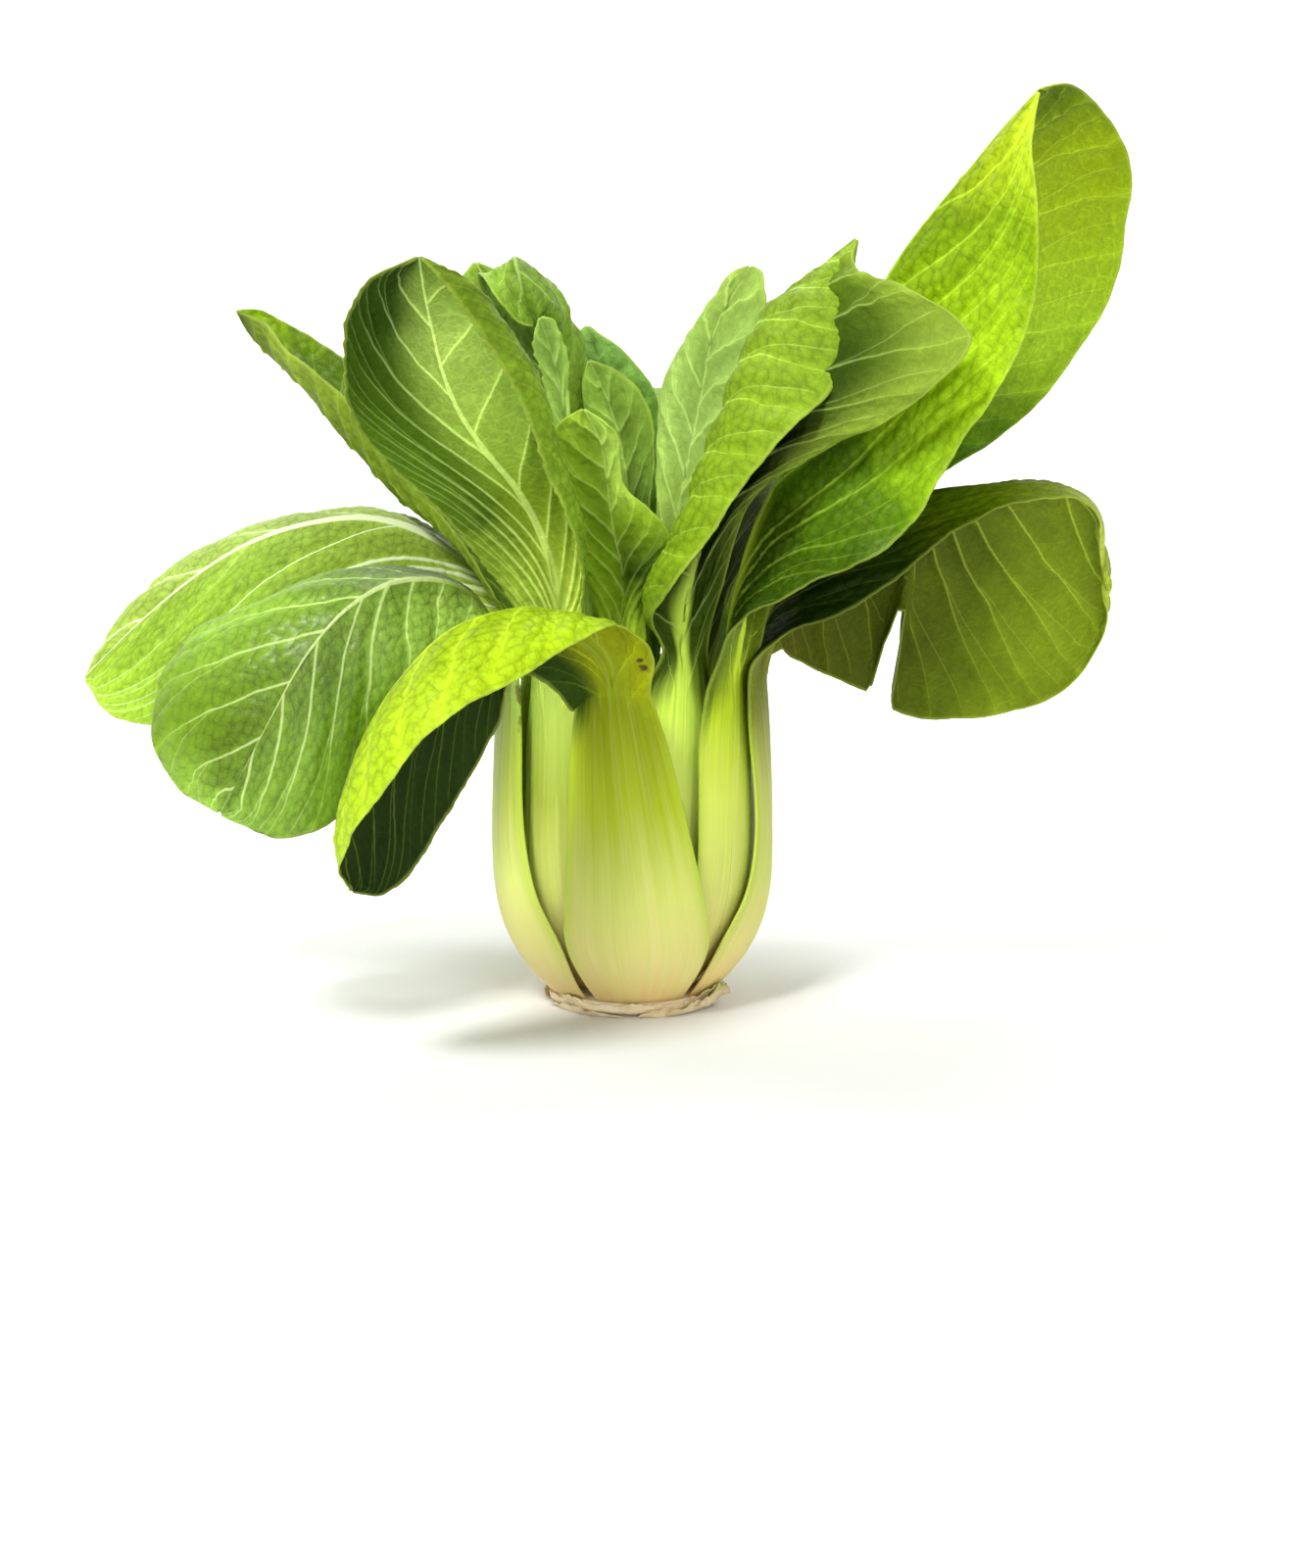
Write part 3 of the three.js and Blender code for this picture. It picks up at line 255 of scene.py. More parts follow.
            (27, -55, 189), (32, -57, 203), (40, -57, 218), (53, -54, 228)],
        minus=[(24, -27, 118), (28, -35, 138), (36, -46, 162), (53, -60, 175), (64, -70, 182),
            (77, -82, 189), (86, -89, 197), (92, -92, 204), (93, -92, 208), (89, -88, 214), (82, -83, 219),
            (75, -77, 223), (70, -71, 225), (66, -65, 227), (64, -59, 232)]),
    dict(name="leaf_trough_left", ring=2, azimuth=(192, 192, 186), tip=(-133, 47, 224), wave=0.8, waves=4,
        start=0.55, bow={"plus": (-3, -5, -3), "minus": (-1, -2, -1)},
        rib=[(-32, 0, 116), (-39, 6, 128), (-48, 11, 140), (-58, 14, 150), (-69, 17, 157), (-79, 21, 165),
            (-88, 25, 175), (-97, 29, 184), (-105, 33, 194), (-113, 37, 202), (-121, 41, 209),
            (-128, 44, 216)],
        plus=[(-28, 12, 116), (-34, 22, 130), (-42, 30, 148), (-52, 40, 168), (-66, 50, 186),
            (-85, 57, 201), (-102, 61, 210), (-116, 60, 219), (-125, 55, 224)],
        minus=[(-36, -8, 118), (-44, -4, 132), (-52, 2, 146), (-61, 5, 157), (-71, 8, 168), (-81, 11, 180),
            (-93, 15, 193), (-103, 20, 203), (-112, 26, 209), (-121, 34, 218)]),
    dict(name="leaf_inner_back_left", ring=2, azimuth=(128, 128, 126), tip=(-53, 51, 240), wave=1.2,
        waves=3, start=0.9, bow={"plus": (-2, 0, 2), "minus": (-2, 0, 2)},
        rib=[(-18, 28, 128), (-24, 32, 155), (-31, 36, 182), (-39, 40, 206), (-46, 45, 226)],
        plus=[(-5, 31, 128), (-2, 37, 156), (-6, 43, 184), (-16, 49, 208), (-34, 53, 229)],
        minus=[(-28, 22, 128), (-40, 25, 154), (-52, 29, 180), (-61, 35, 204), (-62, 44, 227)]),
    dict(name="leaf_inner_back_right", ring=2, azimuth=(42, 41, 42), arc=(0.8, 1, 1), tip=(61, 78, 201),
        wave=1.2, waves=3, start=0.25, bow={"plus": (-2, 2, 3), "minus": (-2, 2, 3)},
        rib=[(24, 23, 128), (29, 30, 154), (36, 39, 178), (45, 50, 194), (54, 64, 202)],
        plus=[(31, 13, 126), (41, 18, 150), (53, 26, 172), (65, 39, 186), (72, 58, 195)],
        minus=[(13, 30, 126), (14, 42, 152), (20, 54, 176), (31, 66, 191), (46, 79, 197)]),
    dict(name="leaf_heart_left", ring=3, azimuth=(246, 246, 250), tip=(-14, -33, 190), wave=0.8, waves=2,
        start=0.5, bow={"plus": (-2, -1, 0), "minus": (-2, -1, 0)},
        rib=[(-4, -21, 120), (-2, -21, 132), (-3, -22, 143), (-5, -23, 152), (-7, -26, 167),
            (-9, -29, 180)],
        plus=[(-12, -20, 116), (-12, -21, 129), (-16, -23, 143), (-21, -26, 160), (-24, -29, 176),
            (-21, -32, 186)],
        minus=[(4, -22, 118), (4, -24, 128), (8, -27, 140), (12, -30, 153), (6, -29, 160), (-1, -27, 166),
            (-3, -28, 174), (-4, -31, 182)]),
    dict(name="leaf_heart_right", ring=3, azimuth=(322, 322, 318), tip=(36, -34, 232), wave=0.8, waves=2,
        start=0.1, bow={"plus": (-2, -2, -2), "minus": (-2, -2, -2)},
        rib=[(16, -19, 126), (14, -22, 147), (16, -24, 165), (19, -25, 180), (22, -26, 195),
            (25, -29, 211)],
        plus=[(9, -17, 126), (8, -18, 150), (7, -18, 168), (8, -19, 183), (10, -20, 197), (15, -22, 209),
            (23, -27, 222), (28, -30, 228), (32, -32, 231)],
        minus=[(22, -16, 126), (24, -23, 150), (29, -29, 169), (34, -34, 189), (39, -38, 206),
            (41, -39, 219), (40, -38, 225), (39, -36, 230)]),
    dict(name="leaf_heart_back", ring=3, azimuth=(76, 76, 78), tip=(-14, 8, 217), wave=1, waves=2,
        start=0.8, bow={"plus": (-2, -1, 1), "minus": (-2, -1, 1)},
        rib=[(3, 21, 130), (1, 19, 152), (-3, 16, 174), (-7, 12, 193), (-11, 9, 208)],
        plus=[(12, 19, 130), (14, 18, 154), (12, 15, 174), (9, 11, 188), (7, 8, 197), (1, 7, 205),
            (-4, 6, 210), (-10, 7, 214)],
        minus=[(-5, 20, 130), (-12, 18, 155), (-16, 14, 177), (-18, 11, 193), (-19, 9, 205),
            (-18, 8, 213)]),
    dict(name="leaf_heart_far", ring=3, azimuth=(184, 184, 190), tip=(-28, -28, 214), wave=1, waves=2,
        start=0.3, bow={"plus": (-1, -1, 0), "minus": (-1, -1, 0)},
        rib=[(-22, -5, 126), (-21, -4, 147), (-22, -2, 171), (-24, -1, 193), (-28, -2, 212), (-31, -6, 226),
            (-34, -12, 234), (-35, -20, 235), (-33, -27, 228), (-31, -27, 221)],
        plus=[(-24, 3, 122), (-27, 5, 145), (-33, 6, 170), (-39, 5, 193), (-44, 2, 211), (-46, -6, 224),
            (-46, -16, 229), (-43, -24, 227), (-38, -29, 220), (-33, -29, 215)],
        minus=[(-18, -10, 122), (-17, -9, 147), (-17, -10, 168), (-19, -12, 183), (-20, -14, 195),
            (-21, -18, 204), (-23, -21, 210), (-26, -24, 212)],
        minus_crest=[(-18, -7, 122), (-16, -7, 147), (-14, -7, 171), (-14, -7, 193), (-15, -8, 210),
            (-18, -12, 216), (-20, -17, 221), (-25, -22, 226), (-27, -28, 225), (-28, -30, 219)]),
    dict(name="leaf_heart", ring=4, azimuth=(288, 288, 280), arc=(0.9, 0.9, 1), tip=(-13, -17, 205),
        wave=0.8, waves=2, start=0.6, bow={"plus": (-1, -1, 0), "minus": (1, 2, 1)},
        rib=[(2, -16, 125), (1, -15, 147), (-1, -14, 165), (-4, -14, 183), (-9, -15, 197)],
        plus=[(-5, -15, 125), (-10, -14, 147), (-13, -14, 171), (-14, -15, 186), (-15, -16, 198)],
        minus=[(4, -17, 128), (6, -16, 150), (7, -15, 164), (8, -15, 174), (7, -15, 184), (5, -15, 191),
            (2, -15, 196), (-3, -15, 200), (-8, -16, 203)]),
    dict(name="leaf_heart_small", ring=4, azimuth=(224, 224, 230), arc=(0.85, 0.85, 1), tip=(-27, -33, 217),
        wave=0.6, waves=2, start=0.2, bow={"plus": (-1, -1, 0), "minus": (-1, -1, 0)},
        rib=[(-13, -15, 123), (-14, -16, 147), (-17, -18, 171), (-20, -20, 189), (-23, -25, 204)],
        plus=[(-16, -13, 123), (-19, -14, 147), (-22, -16, 171), (-25, -18, 188), (-27, -24, 201),
            (-29, -29, 209)],
        minus=[(-11, -17, 123), (-11, -19, 147), (-14, -20, 168), (-17, -21, 183), (-19, -22, 195),
            (-19, -27, 206), (-21, -30, 212), (-23, -32, 216)]),
]

# How each leaf looks. cell is the size of a mesh cell in mm, and quilt is how far the blade bulges between
# its veins. veins gives the side veins: for each half a list of where one leaves the midrib and where it
# meets the margin, as shares of the blade (below 0 is below the neck), with its strength if that isn't 1;
# or, for both halves alike, how many there are and how far forward one runs at the base and at the tip. rib
# is the width of the midrib at the neck and at the tip, and teeth the depth of the margin's teeth. upper
# and lower are colours of the two faces from neck to tip, as (share, colour) stops; on the leaves in view
# they hold painted light and painted shade besides the leaf's own greens, darker where a part lies in
# shade, down to painted shadow in the darkest stops, and lighter where it is lit. A face may have its own
# stops for each half, and blend is where across the leaf one half's colours go over to the other's. line is
# how strongly the veins show on the upper and on the lower face, pale their own colour, and white its share
# beside a lighter shade of the face. centre is the tone at the midrib and at the margin. outer tints the
# lower face lighter from one place across to another, painted light against its painted shade. stalk and
# neck are colours, and the tone for one side of the stalk is painted shade down that side. brown_edge is
# the strength of brown dots along the margin, spots are brown ones at x, y, z with their radius in mm, and
# gloss and coat are the shine. COMMON holds what most leaves share, and HIDDEN what the leaves at the back
# do.
COMMON = dict(
    white=0.45, pale=(0.7, 0.8, 0.36), blend=(-0.15, 0.35), centre=(-0.12, 0.1), gloss=0.24, coat=0,
    teeth=0.12, stalk=(0.5, 0.6, 0.06), neck=(0.34, 0.45, 0.01), spots=(),
)
HIDDEN = dict(cell=1.9, veins=(8, 0.3, 0.16), quilt=0.8, rib=(2.4, 0.5), line=(0.6, 0.6))
LOOKS = {
    # Under the arch of its blade the lower face darkens to painted shadow, and its stalk has painted shade
    # down its plus side.
    "leaf_front": dict(cell=0.85, quilt=0.9, rib=(1.8, 0.4), line=(0.35, 0.4), white=0.4,
        pale=(0.62, 0.8, 0.12), blend=(0.15, 0.75), gloss=0.2, stalk=(0.42, 0.52, 0.02),
        neck=(0.26, 0.33, 0.002), shaded_side_tone=0.84, spots=((4.3, -51.2, 113.4, 1.7), (3, -52.4, 115.8, 1.1)),
        veins={"minus": ((-0.1, 0.06, 0.6), (0, 0.14), (0.1, 0.26), (0.2, 0.38), (0.3, 0.49), (0.4, 0.58),
            (0.5, 0.67), (0.6, 0.76), (0.7, 0.84), (0.8, 0.9), (0.9, 0.96)),
            "plus": ((-0.2, 0.2, 0.8), (-0.12, 0.36, 0.5), (-0.06, 0.5), (0.03, 0.62, 0.4), (0.14, 0.73),
                (0.3, 0.83, 0.4), (0.46, 0.91), (0.66, 0.96, 0.5), (0.82, 0.985, 0.5))},
        upper=((0, (0.22, 0.34, 0.012)), (0.2, (0.25, 0.38, 0.015)), (0.35, (0.42, 0.63, 0.008)),
            (1, (0.38, 0.56, 0.016))),
        lower_minus=((0, (0.34, 0.4, 0.003)), (0.2, (0.28, 0.33, 0.003)), (0.4, (0.03, 0.06, 0.001)),
            (1, (0.012, 0.03, 0.001))),
        lower_plus=((0, (0.02, 0.05, 0.001)), (0.4, (0.012, 0.032, 0.001)), (1, (0.005, 0.02, 0.001)))),
    "leaf_left": dict(cell=0.85, quilt=0.8, rib=(1.3, 0.22), line=(0.6, 0.6), white=0.7,
        pale=(0.8, 0.88, 0.44), centre=(-0.28, 0.16), coat=0.3, brown_edge=0.8, stalk=(0.38, 0.46, 0.04),
        neck=(0.2, 0.28, 0.004),
        veins={"minus": ((-0.1, 0.05, 0.6), (0.08, 0.14), (0.2, 0.25), (0.28, 0.36), (0.35, 0.47),
            (0.41, 0.62), (0.47, 0.76), (0.58, 0.86), (0.7, 0.92), (0.82, 0.96)),
            "plus": ((0, 0.12, 0.6), (0.1, 0.24), (0.2, 0.33), (0.3, 0.42), (0.38, 0.52), (0.47, 0.62),
                (0.57, 0.72), (0.68, 0.81), (0.8, 0.9), (0.9, 0.96))},
        upper_minus=((0.15, (0.55, 0.85, 0.12)), (0.38, (0.35, 0.58, 0.07)), (0.58, (0.125, 0.25, 0.006)),
            (0.8, (0.175, 0.32, 0.025)), (1, (0.185, 0.35, 0.03))),
        upper_plus=((0.3, (0.06, 0.12, 0.004)), (0.58, (0.24, 0.44, 0.03)), (0.8, (0.135, 0.255, 0.004)),
            (1, (0.25, 0.44, 0.045))),
        lower=((0, (0.24, 0.36, 0.04)), (1, (0.18, 0.28, 0.04)))),
    # The near-black stops of the upper face by the neck are painted shadow cast by the leaf above it.
    "leaf_right": dict(cell=0.95, quilt=0.9, rib=(1.8, 0.4), line=(0.4, 0.75), white=0.35,
        pale=(0.55, 0.66, 0.14), stalk=(0.55, 0.57, 0.12), neck=(0.2, 0.23, 0.02),
        veins={"minus": ((0, 0.1), (0.08, 0.2), (0.16, 0.3), (0.25, 0.4), (0.33, 0.5), (0.4, 0.6),
            (0.46, 0.7), (0.51, 0.76), (0.56, 0.83), (0.62, 0.9), (0.75, 0.95), (0.88, 0.98)),
            "plus": ((-0.05, 0.3), (0, 0.45), (0.05, 0.6), (0.12, 0.72), (0.25, 0.82), (0.4, 0.9),
                (0.6, 0.96))},
        upper=((0.1, (0.004, 0.015, 0.001)), (0.4, (0.014, 0.036, 0.001)), (0.6, (0.14, 0.21, 0.001)),
            (0.8, (0.36, 0.46, 0.03))),
        lower=((0, (0.16, 0.2, 0.01)), (0.3, (0.07, 0.08, 0.002)), (0.5, (0.065, 0.09, 0.002)),
            (0.65, (0.1, 0.15, 0.003)), (0.8, (0.21, 0.3, 0.01)))),
    "leaf_back_right": dict(HIDDEN,
        upper=((0, (0.32, 0.5, 0.03)), (1, (0.22, 0.38, 0.02))),
        lower=((0, (0.26, 0.38, 0.05)), (1, (0.18, 0.28, 0.03)))),
    "leaf_back_left": dict(HIDDEN,
        upper=((0, (0.36, 0.54, 0.03)), (1, (0.26, 0.42, 0.02))),
        lower=((0, (0.27, 0.4, 0.05)), (1, (0.19, 0.3, 0.03)))),
    # The plus half of the lower face darkens toward the tip in painted shade.
    "leaf_spoon": dict(cell=0.85, quilt=1.1, rib=(1.4, 0.25), line=(0.4, 0.85), white=0.38,
        pale=(0.7, 0.84, 0.36), blend=(0, 0.65), teeth=0.8, stalk=(0.36, 0.44, 0.05),
        neck=(0.42, 0.56, 0.08),
        veins={"minus": ((-0.18, 0.1, 0.8), (-0.12, 0.2), (-0.06, 0.3, 1.2), (0, 0.42, 1.3),
            (0.06, 0.54, 1.3), (0.15, 0.64), (0.27, 0.73), (0.4, 0.81), (0.54, 0.88), (0.7, 0.94),
            (0.84, 0.97)),
            "plus": ((-0.2, 0.16, 0.8), (-0.14, 0.27), (-0.09, 0.37), (-0.04, 0.47, 1.3), (0.02, 0.56, 1.3),
                (0.1, 0.64, 1.2), (0.22, 0.71), (0.36, 0.78), (0.5, 0.85), (0.64, 0.91), (0.8, 0.96))},
        upper=((0, (0.2, 0.34, 0.02)), (0.6, (0.21, 0.35, 0.02)), (0.8, (0.17, 0.29, 0.015)),
            (1, (0.1, 0.17, 0.005))),
        lower_minus=((0.1, (0.5, 0.62, 0.07)), (0.4, (0.2, 0.32, 0.012)), (0.6, (0.38, 0.58, 0.07)),
            (0.8, (0.5, 0.72, 0.13)), (1, (0.09, 0.18, 0.008))),
        lower_plus=((0.1, (0.42, 0.58, 0.08)), (0.25, (0.26, 0.38, 0.03)), (0.4, (0.056, 0.11, 0.003)),
            (0.6, (0.06, 0.13, 0.003)), (0.8, (0.022, 0.057, 0.001)), (1, (0.007, 0.02, 0.001)))),
    # The dark stops low on both faces are partly its own deep green and partly painted shade.
    "leaf_tall_right": dict(cell=0.95, quilt=1.4, rib=(1.6, 0.35), line=(0.6, 1), white=0.5,
        pale=(0.56, 0.72, 0.1), stalk=(0.66, 0.78, 0.11), neck=(0.48, 0.64, 0.015),
        veins={"minus": ((0, 0.1, 0.7), (0.1, 0.2), (0.2, 0.32), (0.3, 0.44), (0.4, 0.53), (0.5, 0.61),
            (0.58, 0.68), (0.66, 0.75), (0.74, 0.82), (0.82, 0.89), (0.9, 0.95)),
            "plus": ((-0.08, 0.12, 0.7), (-0.05, 0.3, 1.3), (-0.02, 0.42, 1.3), (0.02, 0.62, 1.5),
                (0.06, 0.78, 1.5), (0.3, 0.84), (0.45, 0.9), (0.6, 0.95), (0.75, 0.99))},
        upper=((0.1, (0.025, 0.06, 0.001)), (0.3, (0.045, 0.1, 0.001)), (0.45, (0.09, 0.2, 0.001)),
            (0.6, (0.4, 0.66, 0.008)), (0.8, (0.2, 0.34, 0.002)), (1, (0.5, 0.66, 0.01))),
        lower=((0.1, (0.1, 0.16, 0.005)), (0.3, (0.015, 0.05, 0.001)), (0.45, (0.07, 0.17, 0.004)),
            (0.6, (0.36, 0.56, 0.022)), (0.8, (0.29, 0.41, 0.004)), (0.93, (0.11, 0.18, 0.002)),
            (1, (0.08, 0.13, 0.002)))),
    "leaf_far_left": dict(cell=0.9, quilt=1, rib=(2.8, 0.5), line=(0.95, 0.7), white=0.95,
        pale=(0.84, 0.92, 0.58),
        veins={"minus": ((-0.15, 0.15, 0.8), (-0.05, 0.42, 1.2), (0, 0.62, 2.1), (0.04, 0.78, 2.1),
            (0.1, 0.9, 1.7), (0.34, 0.955, 0.5), (0.6, 0.98, 0.25), (0.8, 0.995, 0.2)),
            "plus": ((0, 0.2), (0.14, 0.34), (0.28, 0.48), (0.42, 0.62), (0.56, 0.75), (0.7, 0.86),
                (0.84, 0.95))},
        upper_minus=((0.15, (0.48, 0.66, 0.08)), (0.4, (0.31, 0.46, 0.05)), (0.6, (0.27, 0.46, 0.034)),
            (0.8, (0.31, 0.53, 0.032)), (1, (0.37, 0.58, 0.035))),
        upper_plus=((0, (0.46, 0.6, 0.1)), (0.6, (0.48, 0.68, 0.12)), (1, (0.4, 0.6, 0.06))),
        lower=((0, (0.28, 0.42, 0.06)), (1, (0.22, 0.34, 0.04)))),
    "leaf_back": dict(HIDDEN, veins=(9, 0.28, 0.16),
        upper=((0, (0.28, 0.46, 0.03)), (1, (0.2, 0.36, 0.02))),
        lower=((0, (0.28, 0.4, 0.06)), (1, (0.2, 0.31, 0.03)))),
    "leaf_far_right": dict(HIDDEN, rib=(2.2, 0.5),
        upper=((0, (0.26, 0.42, 0.03)), (1, (0.2, 0.34, 0.02))),
        lower=((0, (0.24, 0.35, 0.05)), (1, (0.17, 0.27, 0.03)))),
    # The dark stops of the lower face are painted shadow under the fold, outer is a painted lighter band
    # toward the margin, and the stalk and neck are painted lighter, painted light where they lie in shade.
    "leaf_folded": dict(cell=0.85, quilt=1.1, rib=(1.8, 0.4), line=(0.75, 0.65), white=0.45,
        pale=(0.66, 0.82, 0.26), stalk=(0.84, 0.95, 0.2), neck=(0.6, 0.84, 0.08),
        outer=(0.5, 1, (0.2, 0.3, 0.025)),
        veins={"minus": ((-0.05, 0.12, 0.7), (0.06, 0.22), (0.17, 0.32), (0.28, 0.42), (0.39, 0.52),
            (0.5, 0.62), (0.6, 0.71), (0.7, 0.8), (0.8, 0.88), (0.9, 0.95)),
            "plus": ((-0.05, 0.1, 0.7), (0.1, 0.2), (0.22, 0.33), (0.33, 0.45), (0.43, 0.55), (0.52, 0.64),
                (0.6, 0.73), (0.68, 0.8), (0.77, 0.87), (0.87, 0.94))},
        upper=((0.2, (0.19, 0.32, 0.006)), (0.4, (0.21, 0.345, 0.009)), (0.8, (0.21, 0.345, 0.016)),
            (1, (0.25, 0.39, 0.03))),
        lower=((0.1, (0.035, 0.07, 0.001)), (0.35, (0.002, 0.006, 0.0005)), (0.5, (0.004, 0.01, 0.0005)),
            (0.7, (0.03, 0.065, 0.001)), (0.85, (0.11, 0.19, 0.008)), (1, (0.2, 0.31, 0.015)))),
    "leaf_trough_left": dict(cell=0.95, quilt=1.2, veins=(12, 0.26, 0.14), rib=(1.4, 0.4), line=(0.4, 0.4),
        pale=(0.5, 0.66, 0.16),
        upper=((0.5, (0.07, 0.14, 0.002)), (0.8, (0.08, 0.16, 0.001)), (1, (0.32, 0.52, 0.012))),
        lower=((0.2, (0.19, 0.29, 0.02)), (0.6, (0.155, 0.235, 0.012)), (0.8, (0.225, 0.315, 0.03)),
            (1, (0.06, 0.1, 0.001)))),
    "leaf_inner_back_left": dict(HIDDEN, quilt=0.7, veins=(9, 0.28, 0.16), rib=(2, 0.5), line=(0.5, 0.5),
        upper=((0, (0.26, 0.42, 0.03)), (1, (0.2, 0.34, 0.02))),
        lower=((0, (0.44, 0.6, 0.08)), (1, (0.3, 0.44, 0.04)))),
    "leaf_inner_back_right": dict(HIDDEN, quilt=0.7, veins=(9, 0.28, 0.16), rib=(2, 0.5), line=(0.25, 0.5),
        upper=((0.2, (0.015, 0.03, 0.001)), (0.4, (0.003, 0.008, 0.001)), (0.7, (0.08, 0.15, 0.008)),
            (1, (0.14, 0.25, 0.02))),
        lower=((0, (0.24, 0.36, 0.05)), (1, (0.17, 0.28, 0.03)))),
    # The dark stop part way up the lower face's minus half is painted shade in its fold.
    "leaf_heart_left": dict(cell=0.85, quilt=1, veins=(9, 0.34, 0.18), rib=(1.2, 0.3), line=(0.4, 0.35),
        upper=((0, (0.2, 0.34, 0.02)), (1, (0.15, 0.28, 0.01))),
        lower_minus=((0.2, (0.38, 0.6, 0.022)), (0.4, (0.02, 0.055, 0.001)), (0.6, (0.23, 0.37, 0.016)),
            (0.8, (0.31, 0.48, 0.06)), (1, (0.38, 0.58, 0.08))),
        lower_plus=((0.2, (0.24, 0.4, 0.01)), (0.4, (0.18, 0.31, 0.005)), (0.6, (0.11, 0.21, 0.003)),
            (0.8, (0.15, 0.27, 0.008)), (1, (0.3, 0.48, 0.035)))),
    "leaf_heart_right": dict(cell=0.85, quilt=1, veins=(10, 0.3, 0.16), rib=(1.2, 0.3), line=(0.4, 0.35),
        upper=((0, (0.22, 0.38, 0.02)), (1, (0.18, 0.32, 0.02))),
        lower=((0.3, (0.28, 0.44, 0.05)), (0.6, (0.33, 0.5, 0.1)), (0.8, (0.29, 0.45, 0.085)),
            (1, (0.27, 0.41, 0.06)))),
    "leaf_heart_back": dict(cell=1.1, quilt=1.3, veins=(9, 0.3, 0.16), rib=(1.2, 0.3), line=(0.25, 0.3),
        upper=((0, (0.1, 0.21, 0.025)), (0.7, (0.22, 0.45, 0.065)), (1, (0.21, 0.4, 0.08))),
        lower=((0, (0.2, 0.32, 0.05)), (1, (0.14, 0.24, 0.04)))),
    "leaf_heart_far": dict(cell=0.85, quilt=1.1, veins=(12, 0.3, 0.16), rib=(1.2, 0.4), line=(0.4, 0.4),
        upper=((0, (0.2, 0.36, 0.03)), (0.8, (0.26, 0.45, 0.035)), (1, (0.1, 0.195, 0.01))),
        lower=((0, (0.26, 0.4, 0.05)), (0.6, (0.18, 0.3, 0.045)), (1, (0.14, 0.25, 0.035)))),
    # The lower face's minus half is painted darker, painted shade where the blade curves away.
    "leaf_heart": dict(cell=0.8, quilt=0.9, veins=(10, 0.3, 0.18), rib=(0.9, 0.25), line=(0.4, 0.3),
        upper=((0, (0.22, 0.36, 0.03)), (1, (0.18, 0.3, 0.02))),
        lower_minus=((0.3, (0.12, 0.22, 0.02)), (0.6, (0.11, 0.2, 0.022)), (0.8, (0.145, 0.25, 0.024)),
            (1, (0.22, 0.37, 0.05))),
        lower_plus=((0.3, (0.24, 0.4, 0.04)), (0.7, (0.3, 0.5, 0.06)), (1, (0.24, 0.4, 0.05)))),
    "leaf_heart_small": dict(cell=0.8, quilt=0.8, veins=(9, 0.3, 0.18), rib=(0.9, 0.25), line=(0.4, 0.3),
        teeth=0.7,
        upper=((0, (0.24, 0.4, 0.04)), (1, (0.22, 0.38, 0.04))),
        lower=((0, (0.28, 0.44, 0.06)), (0.8, (0.29, 0.47, 0.08)), (1, (0.34, 0.55, 0.1)))),
}


def mix(a, b, t):
    return a + (b - a) * t


def smooth(a, b, x):
    t = np.clip((np.asarray(x, float) - a) / (b - a), 0, 1)
    return t * t * (3 - 2 * t)


def bell(x, width):
    """1 where x is 0, and next to nothing at twice the width."""
    return np.exp(-((x / width) ** 2))


def unit(v):
    return v / np.maximum(np.linalg.norm(v, axis=-1, keepdims=True), 1e-12)


def curve(knots, values):
    """A smooth curve through values, or points, at the knots, held level outside them."""
    knots = np.array(knots, float)
    values = np.array(values, float)
    flat = values.ndim == 1
    if flat:
        values = values[:, None]
    step = np.diff(knots)
    slope = np.diff(values, axis=0) / step[:, None]
    tangent = np.empty_like(values)
    tangent[0], tangent[-1] = slope[0], slope[-1]
    before, after = step[:-1, None], step[1:, None]
    tangent[1:-1] = (slope[1:] * before + slope[:-1] * after) / (before + after)

    def at(x):
        x = np.clip(np.asarray(x, float), knots[0], knots[-1])
        i = np.clip(np.searchsorted(knots, x, side="left") - 1, 0, len(knots) - 2)
        h = step[i][..., None]
        t = ((x - knots[i]) / step[i])[..., None]
        t2, t3 = t * t, t * t * t
        out = (
            (2 * t3 - 3 * t2 + 1) * values[i] + (t3 - 2 * t2 + t) * h * tangent[i]
            + (3 * t2 - 2 * t3) * values[i + 1] + (t3 - t2) * h * tangent[i + 1]
        )
        return out[..., 0] if flat else out

    return at


def scramble(i, j, seed):
    """A repeatable number from 0 to 1 for each whole i, j and seed."""
    n = (i.astype(np.int64) * 374761393 + j.astype(np.int64) * 668265263 + seed * 982451653) & 0xFFFFFFFF
    n = ((n ^ (n >> 13)) * 1274126177) & 0xFFFFFFFF
    n = ((n ^ (n >> 16)) * 2246822519) & 0xFFFFFFFF
    return ((n ^ (n >> 15)) & 0xFFFFFF) / float(0xFFFFFF)


def noise(x, y, seed):
    """Smooth noise from -1 to 1, about one bump per unit."""
    x, y = np.broadcast_arrays(np.asarray(x, float), np.asarray(y, float))
    i, j = np.floor(x), np.floor(y)
    fx, fy = smooth(0, 1, x - i), smooth(0, 1, y - j)
    low = mix(scramble(i, j, seed), scramble(i + 1, j, seed), fx)
    high = mix(scramble(i, j + 1, seed), scramble(i + 1, j + 1, seed), fx)
    return mix(low, high, fy) * 2 - 1


def cells(x, y, seed):
    """Distance to the border between cells of about one unit, as in the net of small veins of a leaf."""
    i, j = np.floor(x), np.floor(y)
    first = np.full(x.shape, 9.0)
    second = np.full(x.shape, 9.0)
    for di in (-1, 0, 1):
        for dj in (-1, 0, 1):
            px = i + di + 0.12 + 0.76 * scramble(i + di, j + dj, seed)
            py = j + dj + 0.12 + 0.76 * scramble(i + di, j + dj, seed + 77)
            d = np.hypot(x - px, y - py)
            second = np.where(d < first, first, np.minimum(second, d))
            first = np.minimum(first, d)
    return (second - first) / 2


def bulge(z):
    below = np.maximum(0, 1 - z / BELLY_HEIGHT)
    above = np.maximum(0, z / BELLY_HEIGHT - 1)
    return 1 - FOOT_PINCH * below**3 - TOP_PINCH * above**1.5


